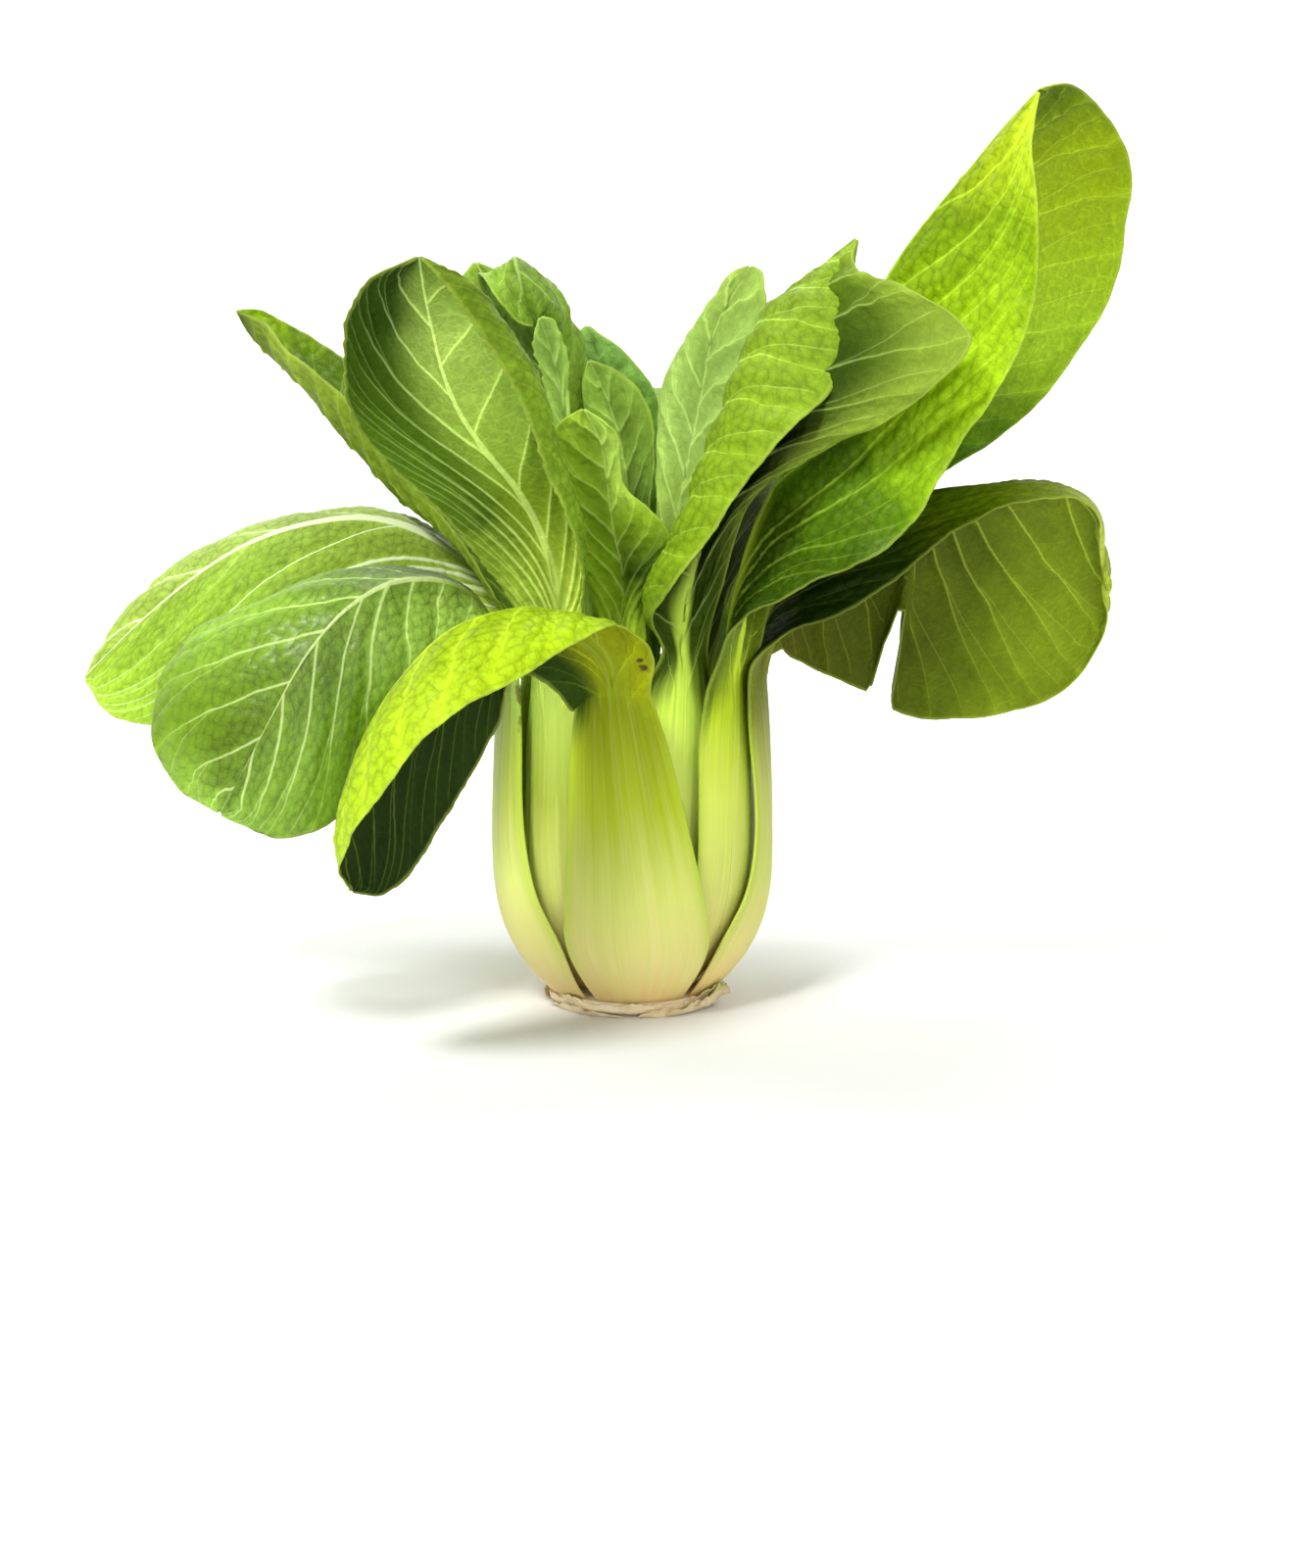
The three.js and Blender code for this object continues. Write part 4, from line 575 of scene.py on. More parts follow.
def stalk_point(leaf, ring, z, across):
    """Points on the outer face of a stalk: at heights z, and across from -1 to 1."""
    z = np.asarray(z, float)
    share = (z - ring["foot"]) / (NECK_HEIGHT - ring["foot"])
    depth = mix(ring["depth"][0], leaf.get("depth", ring["depth"][1]), smooth(0, 0.5, share))
    radius = BELLY_RADIUS * bulge(z) - depth
    own = STALK_ROUNDNESS * radius
    heading = np.radians(curve(AZIMUTH_SHARES, leaf["azimuth"])(share))
    wider = curve(AZIMUTH_SHARES, leaf["arc"])(share) if "arc" in leaf else 1
    arc = np.radians(curve(ARC_SHARES, STALK_ARC)(share) * ring["arc"] * wider)
    turn = heading - across * arc
    return np.stack([
        (radius - own) * np.cos(heading) + own * np.cos(turn),
        (radius - own) * np.sin(heading) + own * np.sin(turn),
        z + 0 * turn,
    ], -1)


def space_curve(leaf, ring, across, points):
    """A smooth curve in space: a line of the stalk below the neck, then its own points and the leaf's tip.

    Shares run from 0 at the neck to 1 at the tip.
    """
    stalk = stalk_point(leaf, ring, np.linspace(ring["foot"], NECK_HEIGHT, STALK_SPANS + 1), across)
    points = np.vstack([stalk, np.array([*points, leaf["tip"]], float)])
    knots = np.concatenate([[0], np.cumsum(np.linalg.norm(np.diff(points, axis=0), axis=1))])
    neck, length = knots[len(stalk) - 1], knots[-1]
    at = curve(knots, points)
    return (lambda share: at(mix(neck, length, np.asarray(share, float)))), length - neck


def torn(edge, middle, blade, tear):
    """The margin of a half with its tear, a ragged notch that reaches toward the midrib."""
    ragged = 1 + 0.22 * noise(blade * 90, 3, 5) + 0.14 * noise(blade * 260, 3, 5)
    apart = np.abs(blade - tear["at"]) / tear["wide"] * ragged
    return mix(edge, middle, (tear["deep"] * np.clip(1 - apart, 0, 1) ** 0.75)[:, None])


def half_section(leaf, ring, side, sign, stalk, blade, v, rib):
    """Points of a half of a leaf's lower face: rows at stalk and blade shares, columns at v from 0 to 1."""
    margin, _ = space_curve(leaf, ring, sign, leaf[side])
    z = mix(ring["foot"], NECK_HEIGHT, stalk)
    on_stalk = (stalk < 1)[:, None]
    middle = np.where(on_stalk, stalk_point(leaf, ring, z, 0), rib(blade))
    tear = leaf.get("tear")
    if tear and tear["half"] == side:
        edge = torn(margin(blade - tear["slant"] * np.sin(np.pi * blade)), middle, blade, tear)
    else:
        edge = margin(blade)
    along = unit(rib(blade + 0.01) - rib(blade - 0.004))
    upper = unit(np.cross(edge - middle, along)) * sign
    start = stalk_point(leaf, ring, NECK_HEIGHT, sign * 0.5)
    chord = (rib(0) + margin(0)) / 2
    bow = curve(BOW_SHARES, [-np.linalg.norm(start - chord), *leaf["bow"][side], 0])(blade)
    knee = (middle + edge) / 2 + upper * bow[:, None]
    share = np.full(len(blade), 0.5)
    crest = leaf.get(side + "_crest")
    if crest:
        crest, _ = space_curve(leaf, ring, sign * 0.6, crest)
        knee = mix(knee, crest(blade), smooth(0.02, 0.2, blade)[:, None])
        inner = np.linalg.norm(knee - middle, axis=1)
        share = inner / np.maximum(inner + np.linalg.norm(edge - knee, axis=1), 1e-9)
    edge = np.where(on_stalk, stalk_point(leaf, ring, z, sign), edge)
    knee = np.where(on_stalk, stalk_point(leaf, ring, z, sign * 0.5), knee)
    share = np.where(stalk < 1, 0.5, share)[:, None]
    v = v[None, :]
    a = (v - share) * (v - 1) / share
    b = v * (v - 1) / (share * (share - 1))
    c = v * (v - share) / (1 - share)
    points = a[..., None] * middle[:, None] + b[..., None] * knee[:, None] + c[..., None] * edge[:, None]
    reach = np.linalg.norm(knee - middle, axis=1) + np.linalg.norm(edge - knee, axis=1)
    return points, reach


def leaf_surface(leaf, look):
    """The mid surface of a leaf as a fine grid, with what its looks are drawn from."""
    ring = RINGS[leaf["ring"]]
    tall = NECK_HEIGHT - ring["foot"]
    rib, length = space_curve(leaf, ring, 0, leaf["rib"])
    stalk_rows = int(round(tall / (STALK_CELL * look["cell"])))
    blade_rows = int(round(length / look["cell"]))
    stalk = np.concatenate([np.arange(stalk_rows) / stalk_rows, np.ones(blade_rows)])
    blade = np.concatenate([np.zeros(stalk_rows), np.linspace(0, LAST_ROW, blade_rows)])

    def halves(v):
        return [half_section(leaf, ring, side, sign, stalk, blade, v, rib) for side, sign in SIDES]

    widest = max(reach.max() for _, reach in halves(np.linspace(0, 1, 3)))
    v = np.linspace(0, 1, int(round(widest / look["cell"])) + 1)
    (minus, reach_minus), (plus, reach_plus) = halves(v)
    points = np.concatenate([minus[:, :0:-1], plus], axis=1)
    across = np.concatenate([-v[:0:-1], v])[None, :] + 0 * blade[:, None]
    place = np.where(stalk < 1, (stalk - 1) * tall / length, blade)[:, None] + 0 * across
    return {
        "points": points, "across": across, "place": place, "way": place * length,
        "reach": np.where(across < 0, reach_minus[:, None], reach_plus[:, None]),
        "stalk": stalk[:, None] + 0 * across, "blade": blade[:, None] + 0 * across, "ring": ring,
        "normal": surface_normal(points, stalk),
    }


def surface_normal(points, stalk):
    normal = unit(np.cross(np.gradient(points, axis=1), np.gradient(points, axis=0)))
    normal[..., 2] *= smooth(0, 0.15, stalk)[:, None]
    return unit(normal)


def vein_lines(look, side):
    """The side veins of a half: where each leaves the midrib and meets the margin, and its strength."""
    veins = look["veins"]
    if isinstance(veins, dict):
        return [(*line, 1.0)[:3] for line in veins[side]]
    count, lean_base, lean_tip = veins
    lines = []
    for k in range(count):
        share = (k + (0.35 if side == "plus" else 0)) / count
        start = -0.08 + 1.02 * share
        lines.append((start, start + mix(lean_base, lean_tip, share) * (1 - share) ** 0.7 + 0.03, 1.0))
    return lines


def side_phase(lines, place, a, seed):
    """A field that is a whole number on each side vein: 1 on the first, 2 on the next, and so on."""
    lines = [(-0.7, -0.25), *[line[:2] for line in lines], (1.03, 1.05)]
    number = np.arange(len(lines))
    starts = np.array([line[0] for line in lines])
    ends = np.array([line[1] for line in lines])
    bend = np.linspace(0.62, 0.98, len(lines))
    spots = starts + (ends - starts) * a[:, None] ** bend
    spots = spots + 0.010 * noise(a[:, None] * 3.5, number * 5.3, seed)
    spots = spots + 0.004 * noise(a[:, None] * 11, number * 3.1, seed + 1)
    spots = np.maximum.accumulate(spots + 0.003 * number, axis=1)
    return np.stack([np.interp(place, row, number) for row in spots], axis=1)


def vein_fields(look, s):
    """Where the side veins and the net between them lie. Distances are in mm."""
    seed = look["seed"]
    across, place = s["across"][0], s["place"][:, 0]
    left = s["across"] > 0
    phases, strengths = [], []
    for side, sign in SIDES:
        lines = vein_lines(look, side)
        phases.append(side_phase(lines, place, np.clip(across * sign, 0, 1), seed + sign))
        strength = np.array([0.0, *[line[2] for line in lines], 0.0])
        strengths.append(strength[np.round(phases[-1]).astype(int)])
    phase = np.where(left, phases[1], phases[0])
    strength = np.where(left, strengths[1], strengths[0])
    strength = strength * (0.85 + 0.3 * scramble(np.round(phase), left, seed + 11))
    pi = np.gradient(s["points"], axis=0)
    pj = np.gradient(s["points"], axis=1)
    e, f, g = (pi * pi).sum(-1), (pi * pj).sum(-1), (pj * pj).sum(-1)
    area = np.maximum(e * g - f * f, 1e-6)
    slope = 0
    for one, mask in ((phases[0], ~left), (phases[1], left)):
        ki, kj = np.gradient(one)
        steep = np.sqrt(np.maximum((g * ki**2 - 2 * f * ki * kj + e * kj**2) / area, 1e-8))
        slope = slope + steep * mask
    pitch = np.clip(1 / slope, *PITCH_LIMITS)
    fork = phase - 0.5 * smooth(0.35, 0.95, np.abs(s["across"]))
    x, y = s["way"] / NET_SIZE, s["across"] * s["reach"] / NET_SIZE
    x, y = x + 0.45 * noise(x / 2, y / 2, seed + 5), y + 0.45 * noise(x / 2, y / 2, seed + 6)
    return {
        "phases": phases, "pitch": pitch, "strength": strength,
        "side": np.abs(phase - np.round(phase)) * pitch,
        "minor": np.abs(fork - np.round(fork)) * pitch,
        "net": cells(x, y + 40 * left, seed) * NET_SIZE,
    }


def margin_teeth(look, s):
    """How far the margin stands out or in, in mm: small waves, a fine raggedness, and teeth."""
    left, way, seed = s["across"] > 0, s["way"], look["seed"]
    out = 0.10 * noise(way / 1.9, 9 + left, seed + 50) + 0.4 * noise(way / 7.5, 2 + left, seed + 51)
    saw = way / TOOTH_PITCH + 0.6 * noise(way / 9, 4 + left, seed + 52)
    return out + look["teeth"] * (1.1 * (saw - np.floor(saw)) ** 1.6 - 0.4)


def new_mesh(name, points, faces):
    """A smooth mesh from points in millimetres."""
    mesh = bpy.data.meshes.new(name)
    mesh.from_pydata((points.reshape(-1, 3) * MM).tolist(), [], faces)
    mesh.shade_smooth()
    return mesh


def store(mesh, name, values):
    """Keep a number, or a vector of three, for each point of a mesh."""
    vectors = values.size == 3 * len(mesh.vertices)
    attribute = mesh.attributes.new(name, "FLOAT_VECTOR" if vectors else "FLOAT", "POINT")
    attribute.data.foreach_set("vector" if vectors else "value", values.astype(np.float32).ravel())


def around(low, high, edge):
    """One loop around each row: the lower face, the rim, the upper face back, and the other rim."""
    return np.concatenate([low, edge[:, -1:], high[:, ::-1], edge[:, :1]], axis=1)


def closed_faces(rows, count, columns):
    """The faces between loops of points, with a cap over the first and the last loop."""
    index = np.arange(rows * count).reshape(rows, count)
    following = np.roll(index, -1, axis=1)
    faces = [np.stack([index[:-1], index[1:], following[1:], following[:-1]], -1).reshape(-1, 4)]
    ends = ((0, False), (rows - 1, True))
    rims = ((True, columns - 1, columns, columns + 1), (False, 0, count - 1, count - 2))
    for row, flip in ends:
        low = index[row, :columns]
        high = index[row, columns + 1:2 * columns + 1][::-1]
        cap = np.stack([low[:-1], low[1:], high[1:], high[:-1]], -1)
        faces.append(cap[:, ::-1] if flip else cap)
    corners = np.concatenate(faces).tolist()
    for row, flip in ends:
        for plus, low, rim, high in rims:
            triangle = [int(index[row, k]) for k in (low, rim, high)]
            corners.append(triangle if plus != flip else triangle[::-1])
    return corners


def leaf_mesh(leaf, look):
    s = leaf_surface(leaf, look)
    across, blade, stalk, way, reach = s["across"], s["blade"], s["stalk"], s["way"], s["reach"]
    a = np.abs(across)
    seed = look["seed"]
    left = across > 0
    veins = vein_fields(look, s)
    from_rib = a * reach
    from_edge = (1 - a) * reach
    on_blade = smooth(0.0, 0.12, blade)

    # The ripple of the margin, finer ones on it, and the quilting between the veins
    turn = 2 * np.pi * (leaf["waves"] * blade + leaf["start"] + 0.37 * left)
    fade = smooth(0.03, 0.2, blade) * smooth(1, 0.9, blade)
    lift = leaf["wave"] * np.sin(turn) * a**3 * fade
    for tall, length, row, draw, nearness in RIPPLES:
        lift = lift + tall * noise(way / length, row + left, seed + draw) * a**nearness * fade
    edge_fade = smooth(0, 3.5, from_edge)
    rib_fade = smooth(1.5, 7, from_rib)
    between = 1 - bell(veins["side"], QUILT_SEAM)
    forked = 1 - 0.5 * bell(veins["minor"], FORK_SEAM) * smooth(0.3, 0.5, a)
    puff = look["quilt"] * (between * forked - 0.6 + 0.30 * (smooth(0, 1.35, veins["net"]) - 0.5))
    for share, length, draw in CREASES:
        puff = puff + share * look["quilt"] * noise(way / length, from_rib / length, seed + draw)
    lift = lift + puff * on_blade * edge_fade * rib_fade

    # Thickness: a crescent in the stalk, and a thin sheet with a midrib and side veins in the blade
    foot_thick = s["ring"]["thick"]
    middle = foot_thick * mix(1, NECK_THIN, np.clip(stalk, 0, 1))
    crescent = EDGE_THICK + (middle - EDGE_THICK) * (1 - a**2) ** 0.85
    rib_width = mix(reach * 0.6, MIDRIB_WIDE, smooth(0, 0.35, blade))
    sheet = SHEET_THICK + (foot_thick * 0.55 - 0.8) * (1 - blade) ** 2.4 * bell(from_rib, rib_width)
    thick = mix(crescent, sheet, smooth(0, 0.15, blade))
    keel_width = mix(0.9 * look["rib"][0], look["rib"][1], blade**0.6)
    keel = (KEEL_TALL * (1 - blade) ** 0.8 + KEEL_LEAST) * bell(from_rib, keel_width) * on_blade
    vein_width = mix(*VEIN_WIDE, a) * np.clip(veins["strength"], 0.5, 2)
    vein_fade = smooth(0, 0.1, blade + 0.25 * a)
    vein_tall = mix(*VEIN_TALL, a) * veins["strength"] * vein_fade * smooth(1.0, 0.93, a)
    ridge = vein_tall * bell(veins["side"], vein_width)
    minor = FORK_TALL * smooth(0.3, 0.5, a) * smooth(1, 0.9, a) * bell(veins["minor"], FORK_WIDE) * on_blade
    fine = NET_TALL * bell(veins["net"], NET_WIDE) * on_blade * edge_fade
    place = s["place"]
    ribs = noise(across * 9, place * 2, seed + 40) + 0.4 * noise(across * 24, place * 3, seed + 41)
    ribs = STALK_RIBS * ribs * smooth(1, 0.9, a) * (1 - on_blade) * smooth(0, 0.2, stalk)

    normal = s["normal"]
    base = s["points"] + normal * lift[..., None]
    out_way = unit(np.gradient(s["points"], axis=1)) * np.sign(across)[..., None]
    base = base + out_way * (margin_teeth(look, s) * a**24 * fade)[..., None]
    lower = base - normal * (keel + ridge + minor + fine - ribs)[..., None]
    raised = look["line"][0] * ridge * (0.2 + 0.5 * (veins["strength"] > 1.1))
    top = thick + 0.45 * keel + raised - 0.6 * minor - 0.5 * fine
    upper = base + normal * top[..., None]
    rim = base + normal * (thick / 2)[..., None] + out_way * np.minimum(thick * 0.35, 0.5)[..., None]

    loops = around(lower, upper, rim)
    mesh = new_mesh(leaf["name"], loops, closed_faces(*loops.shape[:2], a.shape[1]))
    grow = np.where(stalk < 1, stalk - 1, blade)
    for name, fields in (
        ("place", (grow, across, from_rib)),
        ("veins", (*veins["phases"], veins["pitch"])),
        ("net", (veins["net"], from_edge, veins["strength"])),
    ):
        store(mesh, name, np.stack([around(field, field, field) for field in fields], -1))
    store(mesh, "upper", around(0 * a, 0 * a + 1, 0 * a + 0.5))
    mesh.validate()
    return mesh


class Nodes:
    """Short names for building a material's nodes."""

    def __init__(self, name):
        self.material = bpy.data.materials.new(name)
        self.material.use_nodes = True
        self.tree = self.material.node_tree
        self.tree.nodes.clear()

    def new(self, kind, **settings):
        node = self.tree.nodes.new("ShaderNode" + kind)
        for key, value in settings.items():
            setattr(node, key, value)
        return node

    def link(self, value, socket):
        if isinstance(value, bpy.types.NodeSocket):
            self.tree.links.new(value, socket)
        elif isinstance(value, (tuple, list)) and len(value) == 3 and socket.type == "RGBA":
            socket.default_value = (*value, 1)
        else:
            socket.default_value = value

    def node(self, kind, *values, **settings):
        """The first output of a new node, with its inputs given in order."""
        node = self.new(kind, **settings)
        for value, socket in zip(values, node.inputs):
            self.link(value, socket)
        return node.outputs[0]

    def named(self, kind, values, **settings):
        """The first output of a new node, with its inputs given by name."""
        node = self.new(kind, **settings)
        for name, value in values.items():
            self.link(value, node.inputs[name])
        return node.outputs[0]

    def math(self, operation, a, b=0.0):
        return self.node("Math", a, b, 0.0, operation=operation)

    def add(self, a, b):
        return self.math("ADD", a, b)

    def sub(self, a, b):
        return self.math("SUBTRACT", a, b)

    def mul(self, a, b):
        return self.math("MULTIPLY", a, b)

    def most(self, a, b):
        return self.math("MAXIMUM", a, b)

    def rest(self, a):
        """What a leaves of 1."""
        return self.sub(1.0, a)

    def swing(self, value, size):
        """A noise's swing about its middle."""
        return self.mul(self.sub(value, 0.5), size)

    def ramp(self, value, low, high, to_low=0.0, to_high=1.0):
        """A smooth step of value from low to high."""
        return self.node("MapRange", value, low, high, to_low, to_high, interpolation_type="SMOOTHSTEP")

    def stops(self, value, stops, low=0.0):
        """A colour that follows value from low to 1 through the stops."""
        node = self.new("ValToRGB")
        self.link(self.math("DIVIDE", self.sub(value, low), 1 - low), node.inputs[0])
        bar = node.color_ramp.elements
        while len(bar) < len(stops):
            bar.new(0.5)
        for element, (share, colour) in zip(bar, stops):
            element.position = (share - low) / (1 - low)
            element.color = (*colour, 1)
        return node.outputs[0]

    def mix(self, share, a, b, blend="MIX"):
        node = self.new("Mix", data_type="RGBA", blend_type=blend)
        self.link(share, node.inputs[0])
        self.link(a, node.inputs[6])
        self.link(b, node.inputs[7])
        return node.outputs[2]

    def times(self, a, b):
        return self.mix(1.0, a, b, "MULTIPLY")

    def vector(self, x, y, z):
        return self.node("CombineXYZ", x, y, z)

    def split(self, vector):
        node = self.new("SeparateXYZ")
        self.link(vector, node.inputs[0])
        return node.outputs[:3]

    def parts(self, name):
        return self.split(self.new("Attribute", attribute_name=name).outputs["Vector"])

    def number(self, name):
        return self.new("Attribute", attribute_name=name).outputs["Fac"]

    def noise(self, vector, scale, detail=2.0, roughness=0.5):
        return self.named("TexNoise", {
            "Vector": vector, "Scale": scale, "Detail": detail, "Roughness": roughness,
        })

    def place(self, shift=0.0):
        """A point of the mesh in metres, shifted so that no two leaves carry the same pattern."""
        here = self.new("TexCoord").outputs["Object"]
        return self.node("VectorMath", here, (shift, shift * 0.7, shift * 1.3), operation="ADD")

    def bump(self, height, strength, distance):
        return self.named("Bump", {"Strength": strength, "Distance": distance, "Height": height})

    def finish(self, surface):
        self.link(surface, self.new("OutputMaterial").inputs["Surface"])
        return self.material


def stalk_colour(n, look, grow, across, shift):
    """Cream at the foot, lime at the neck, with soft wide and fine streaks along it."""
    wide, fine = (
        n.noise(n.vector(n.mul(across, count), n.mul(grow, stretch), shift), 1.0, detail, roughness)
        for count, stretch, detail, roughness in STREAKS
    )
    height = n.add(grow, n.swing(wide, 0.3))
    own = ((-0.34, look["stalk"]), (-0.06, look["neck"]), (0.3, look["neck"]))
    colour = n.stops(height, (*STALK_STOPS, *own), -1.2)
    colour = n.mix(n.ramp(fine, 0.42, 0.8, 0.0, 0.20), colour, n.mix(0.55, colour, STREAK_PALE))
    colour = n.mix(n.ramp(fine, 0.46, 0.2, 0.0, 0.16), colour, n.times(colour, STREAK_DARK))
    # Painted shade down one side of the stalk, where the look gives a tone for that side
    if "shaded_side_tone" in look:
        shaded_side = n.mul(n.ramp(across, -0.3, 0.9), n.ramp(grow, -1.0, -0.6))
        colour = n.mix(shaded_side, colour, n.times(colour, (look["shaded_side_tone"],) * 3))
    edge = n.mul(n.ramp(n.math("ABSOLUTE", across), 0.80, 0.98), n.ramp(grow, -0.98, -0.75))
    return n.mix(n.mul(edge, 0.55), colour, STALK_EDGE), wide, fine


def face_colour(n, look, face, grow, plus_share):
    """The colour of a face from neck to tip, going over from one half's stops to the other's."""
    if face in look:
        return n.stops(grow, look[face])
    return n.mix(plus_share, n.stops(grow, look[face + "_minus"]), n.stops(grow, look[face + "_plus"]))


def leaf_material(leaf, look):
    n = Nodes(leaf["name"] + "_skin")
    shift = look["seed"] * 0.37
    here = n.place(shift)
    grow, across, from_rib = n.parts("place")
    phase_minus, phase_plus, pitch = n.parts("veins")
    net, from_edge, strength = n.parts("net")
    upper = n.ramp(n.number("upper"), 0.35, 0.65)
    below = n.rest(upper)
    a = n.math("ABSOLUTE", across)
    phase = n.add(phase_minus, n.mul(n.math("GREATER_THAN", across, 0.0), n.sub(phase_plus, phase_minus)))
    stalk, streak, fine_streak = stalk_colour(n, look, grow, across, shift)

    # Blade: the colour of each face along it, its own greens with painted light and painted shade on the
    # leaves in view, in soft patches and small mottles
    patches = n.noise(here, PATCH_SCALE, 3.0, 0.55)
    mottle = n.noise(here, MOTTLE_SCALE, 2.0, 0.6)
    wander = n.add(grow, n.swing(patches, 0.25))
    plus_share = n.ramp(n.add(across, n.mul(patches, 0.2)), *look["blend"])
    up = face_colour(n, look, "upper", wander, plus_share)
    down = face_colour(n, look, "lower", wander, plus_share)
    # A lighter band toward the margin of the lower face: painted light on a face painted in shade
    if "outer" in look:
        inner, outer, tint = look["outer"]
        down = n.mix(n.mul(n.ramp(a, inner, outer), n.ramp(grow, 0.15, 0.45)), down, tint)
    blade = n.mix(upper, down, up)

    # Veins: side veins with forks, the net between them, and a still finer net
    from_side = n.mul(n.math("PINGPONG", phase, 0.5), pitch)
    forked = n.sub(phase, n.ramp(a, 0.35, 0.95, 0.0, 0.5))
    from_fork = n.mul(n.math("PINGPONG", forked, 0.5), pitch)
    width = n.mul(n.sub(0.62, n.mul(a, 0.38)), strength)
    side = n.rest(n.ramp(from_side, n.mul(width, 0.35), width))
    side = n.mul(n.mul(side, n.ramp(a, 1.0, 0.3, 0.25, 1.0)), n.ramp(strength, 0.0, 0.5))
    fork = n.rest(n.ramp(from_fork, 0.08, 0.34))
    fork = n.mul(fork, n.mul(n.ramp(a, 0.3, 0.5), n.ramp(a, 1.0, 0.88)))
    small = n.rest(n.ramp(net, 0.04, 0.38))
    border = n.named("TexVoronoi", {"Vector": here, "Scale": FINEST_SCALE}, feature="DISTANCE_TO_EDGE")
    finest = n.rest(n.ramp(border, 0.01, 0.11))
    rib_width = n.ramp(grow, -0.1, 0.95, *look["rib"])
    rib = n.rest(n.ramp(from_rib, n.mul(rib_width, 0.6), rib_width))
    lines = n.most(n.most(n.mul(side, 0.9), n.mul(fork, 0.4)), rib)
    on_upper, on_lower = look["line"]
    lines = n.mul(lines, n.ramp(upper, 0.0, 1.0, on_lower, on_upper))

    # Lighter beside the veins, painted shade in the small grooves of the upper face and at the borders of the
    # net's cells, and softly mottled
    tone = n.add(0.94, n.swing(patches, 0.35))
    tone = n.add(tone, n.swing(mottle, 0.3))
    tone = n.add(tone, n.mul(n.rest(n.ramp(from_side, 0.0, 3.0)), 0.16))
    web = n.most(n.mul(small, 0.42), n.mul(finest, 0.22))
    tone = n.add(tone, n.mul(web, n.mul(below, on_lower)))
    # Painted shade in the grooves of the net, strongest on the upper face
    groove_shade = n.most(n.mul(small, 0.26), n.mul(finest, 0.14))
    tone = n.sub(tone, n.mul(groove_shade, n.ramp(upper, 0.0, 1.0, 0.15, 1.0)))
    # Painted shade at the borders of the net's cells, and lighter in their middles
    tone = n.add(tone, n.ramp(net, 0.2, 1.4, -0.08, 0.08))
    tone = n.add(tone, n.ramp(a, 0.05, 0.85, *look["centre"]))
    blade = n.times(blade, tone)
    blade = n.mix(lines, blade, n.mix(look["white"], n.times(blade, VEIN_LIGHTER), look["pale"]))
    margin = n.ramp(from_edge, 1.1, 0.2, 0.0, 0.45)
    blade = n.mix(margin, blade, n.mix(0.6, blade, MARGIN_PALE))
    if "brown_edge" in look:
        dots = n.mul(n.ramp(from_edge, 1.6, 0.2), n.ramp(n.noise(here, DOT_SCALE, 1.0), 0.52, 0.66))
        blade = n.mix(n.mul(dots, look["brown_edge"]), blade, BROWN)

    # The stalk's colour runs up the midrib as a wedge, and the blade's green down the sides of the neck
    wedge = n.rest(n.ramp(a, 0.0, 0.42))
    start = n.add(n.mul(n.mul(wedge, wedge), 0.26), n.swing(streak, 0.18))
    start = n.sub(start, n.mul(n.math("POWER", a, 3.0), 0.14))
    blade_share = n.ramp(n.sub(grow, start), -0.09, 0.11)
    colour = n.mix(blade_share, stalk, blade)
    for x, y, z, radius in look["spots"]:
        apart = n.new("VectorMath", operation="DISTANCE")
        n.link(n.place(), apart.inputs[0])
        n.link((x * MM, y * MM, z * MM), apart.inputs[1])
        ragged = n.add(apart.outputs["Value"], n.swing(mottle, 0.004))
        colour = n.mix(n.ramp(ragged, radius * MM, radius * 0.5 * MM), colour, BROWN)

    # Gloss: the upper face is waxy, the lower face is duller
    rough = n.add(n.ramp(mottle, 0.3, 0.7, 0.42, 0.52), n.ramp(upper, 0.0, 1.0, 0.12, 0.0))
    relief = n.mul(n.add(n.mul(finest, -0.35), n.mul(mottle, 0.8)), blade_share)
    relief = n.add(relief, n.mul(fine_streak, n.ramp(grow, 0.05, -0.1, 0.0, 0.5)))
    skin = n.named("BsdfPrincipled", {
        "Base Color": colour, "Roughness": rough, "Normal": n.bump(relief, 0.4, 0.0004),
        "Specular IOR Level": look["gloss"], "Specular Tint": SHEEN,
        "Coat Weight": look["coat"], "Coat Roughness": 0.32,
    })
    glow = n.named("BsdfTranslucent", {"Color": n.times(colour, SHINING_THROUGH)})
    return n.finish(n.node("MixShader", GLOW_SHARE, skin, glow))


def stem_material():
    n = Nodes("cut_stem")
    here = n.place()
    fibre = n.noise(here, 420.0, 4.0, 0.6)
    patch = n.noise(here, 90.0, 3.0, 0.6)
    height = n.split(here)[2]
    colour = n.mix(n.ramp(patch, 0.35, 0.65), CUT_PALE, CUT_CREAM)
    colour = n.mix(n.ramp(fibre, 0.58, 0.85, 0.0, 0.28), colour, CUT_FIBRE)
    colour = n.mix(n.ramp(height, 0.0018, 0.0, 0.0, 0.3), colour, CUT_UNDERNEATH)
    colour = n.mix(n.ramp(height, 0.0040, 0.0075, 0.0, 0.8), colour, STUB_GREEN)
    worn = n.mul(n.ramp(n.number("edge"), 0.75, 1.0), n.ramp(fibre, 0.4, 0.65))
    colour = n.mix(n.mul(worn, 0.28), colour, FLAKE_EDGE)
    bump = n.bump(n.add(fibre, patch), 0.6, 0.0006)
    return n.finish(n.named("BsdfPrincipled", {"Base Color": colour, "Roughness": 0.62, "Normal": bump}))


def stub_at(angle):
    """How far the rim rises into the stubs of trimmed stalks at an angle in degrees."""
    tall = np.zeros_like(angle)
    for at, wide, share in STUBS:
        apart = np.abs((angle - at + 540) % 360 - 180)
        tall = np.maximum(tall, share * smooth(wide, wide * 0.3, apart))
    return tall


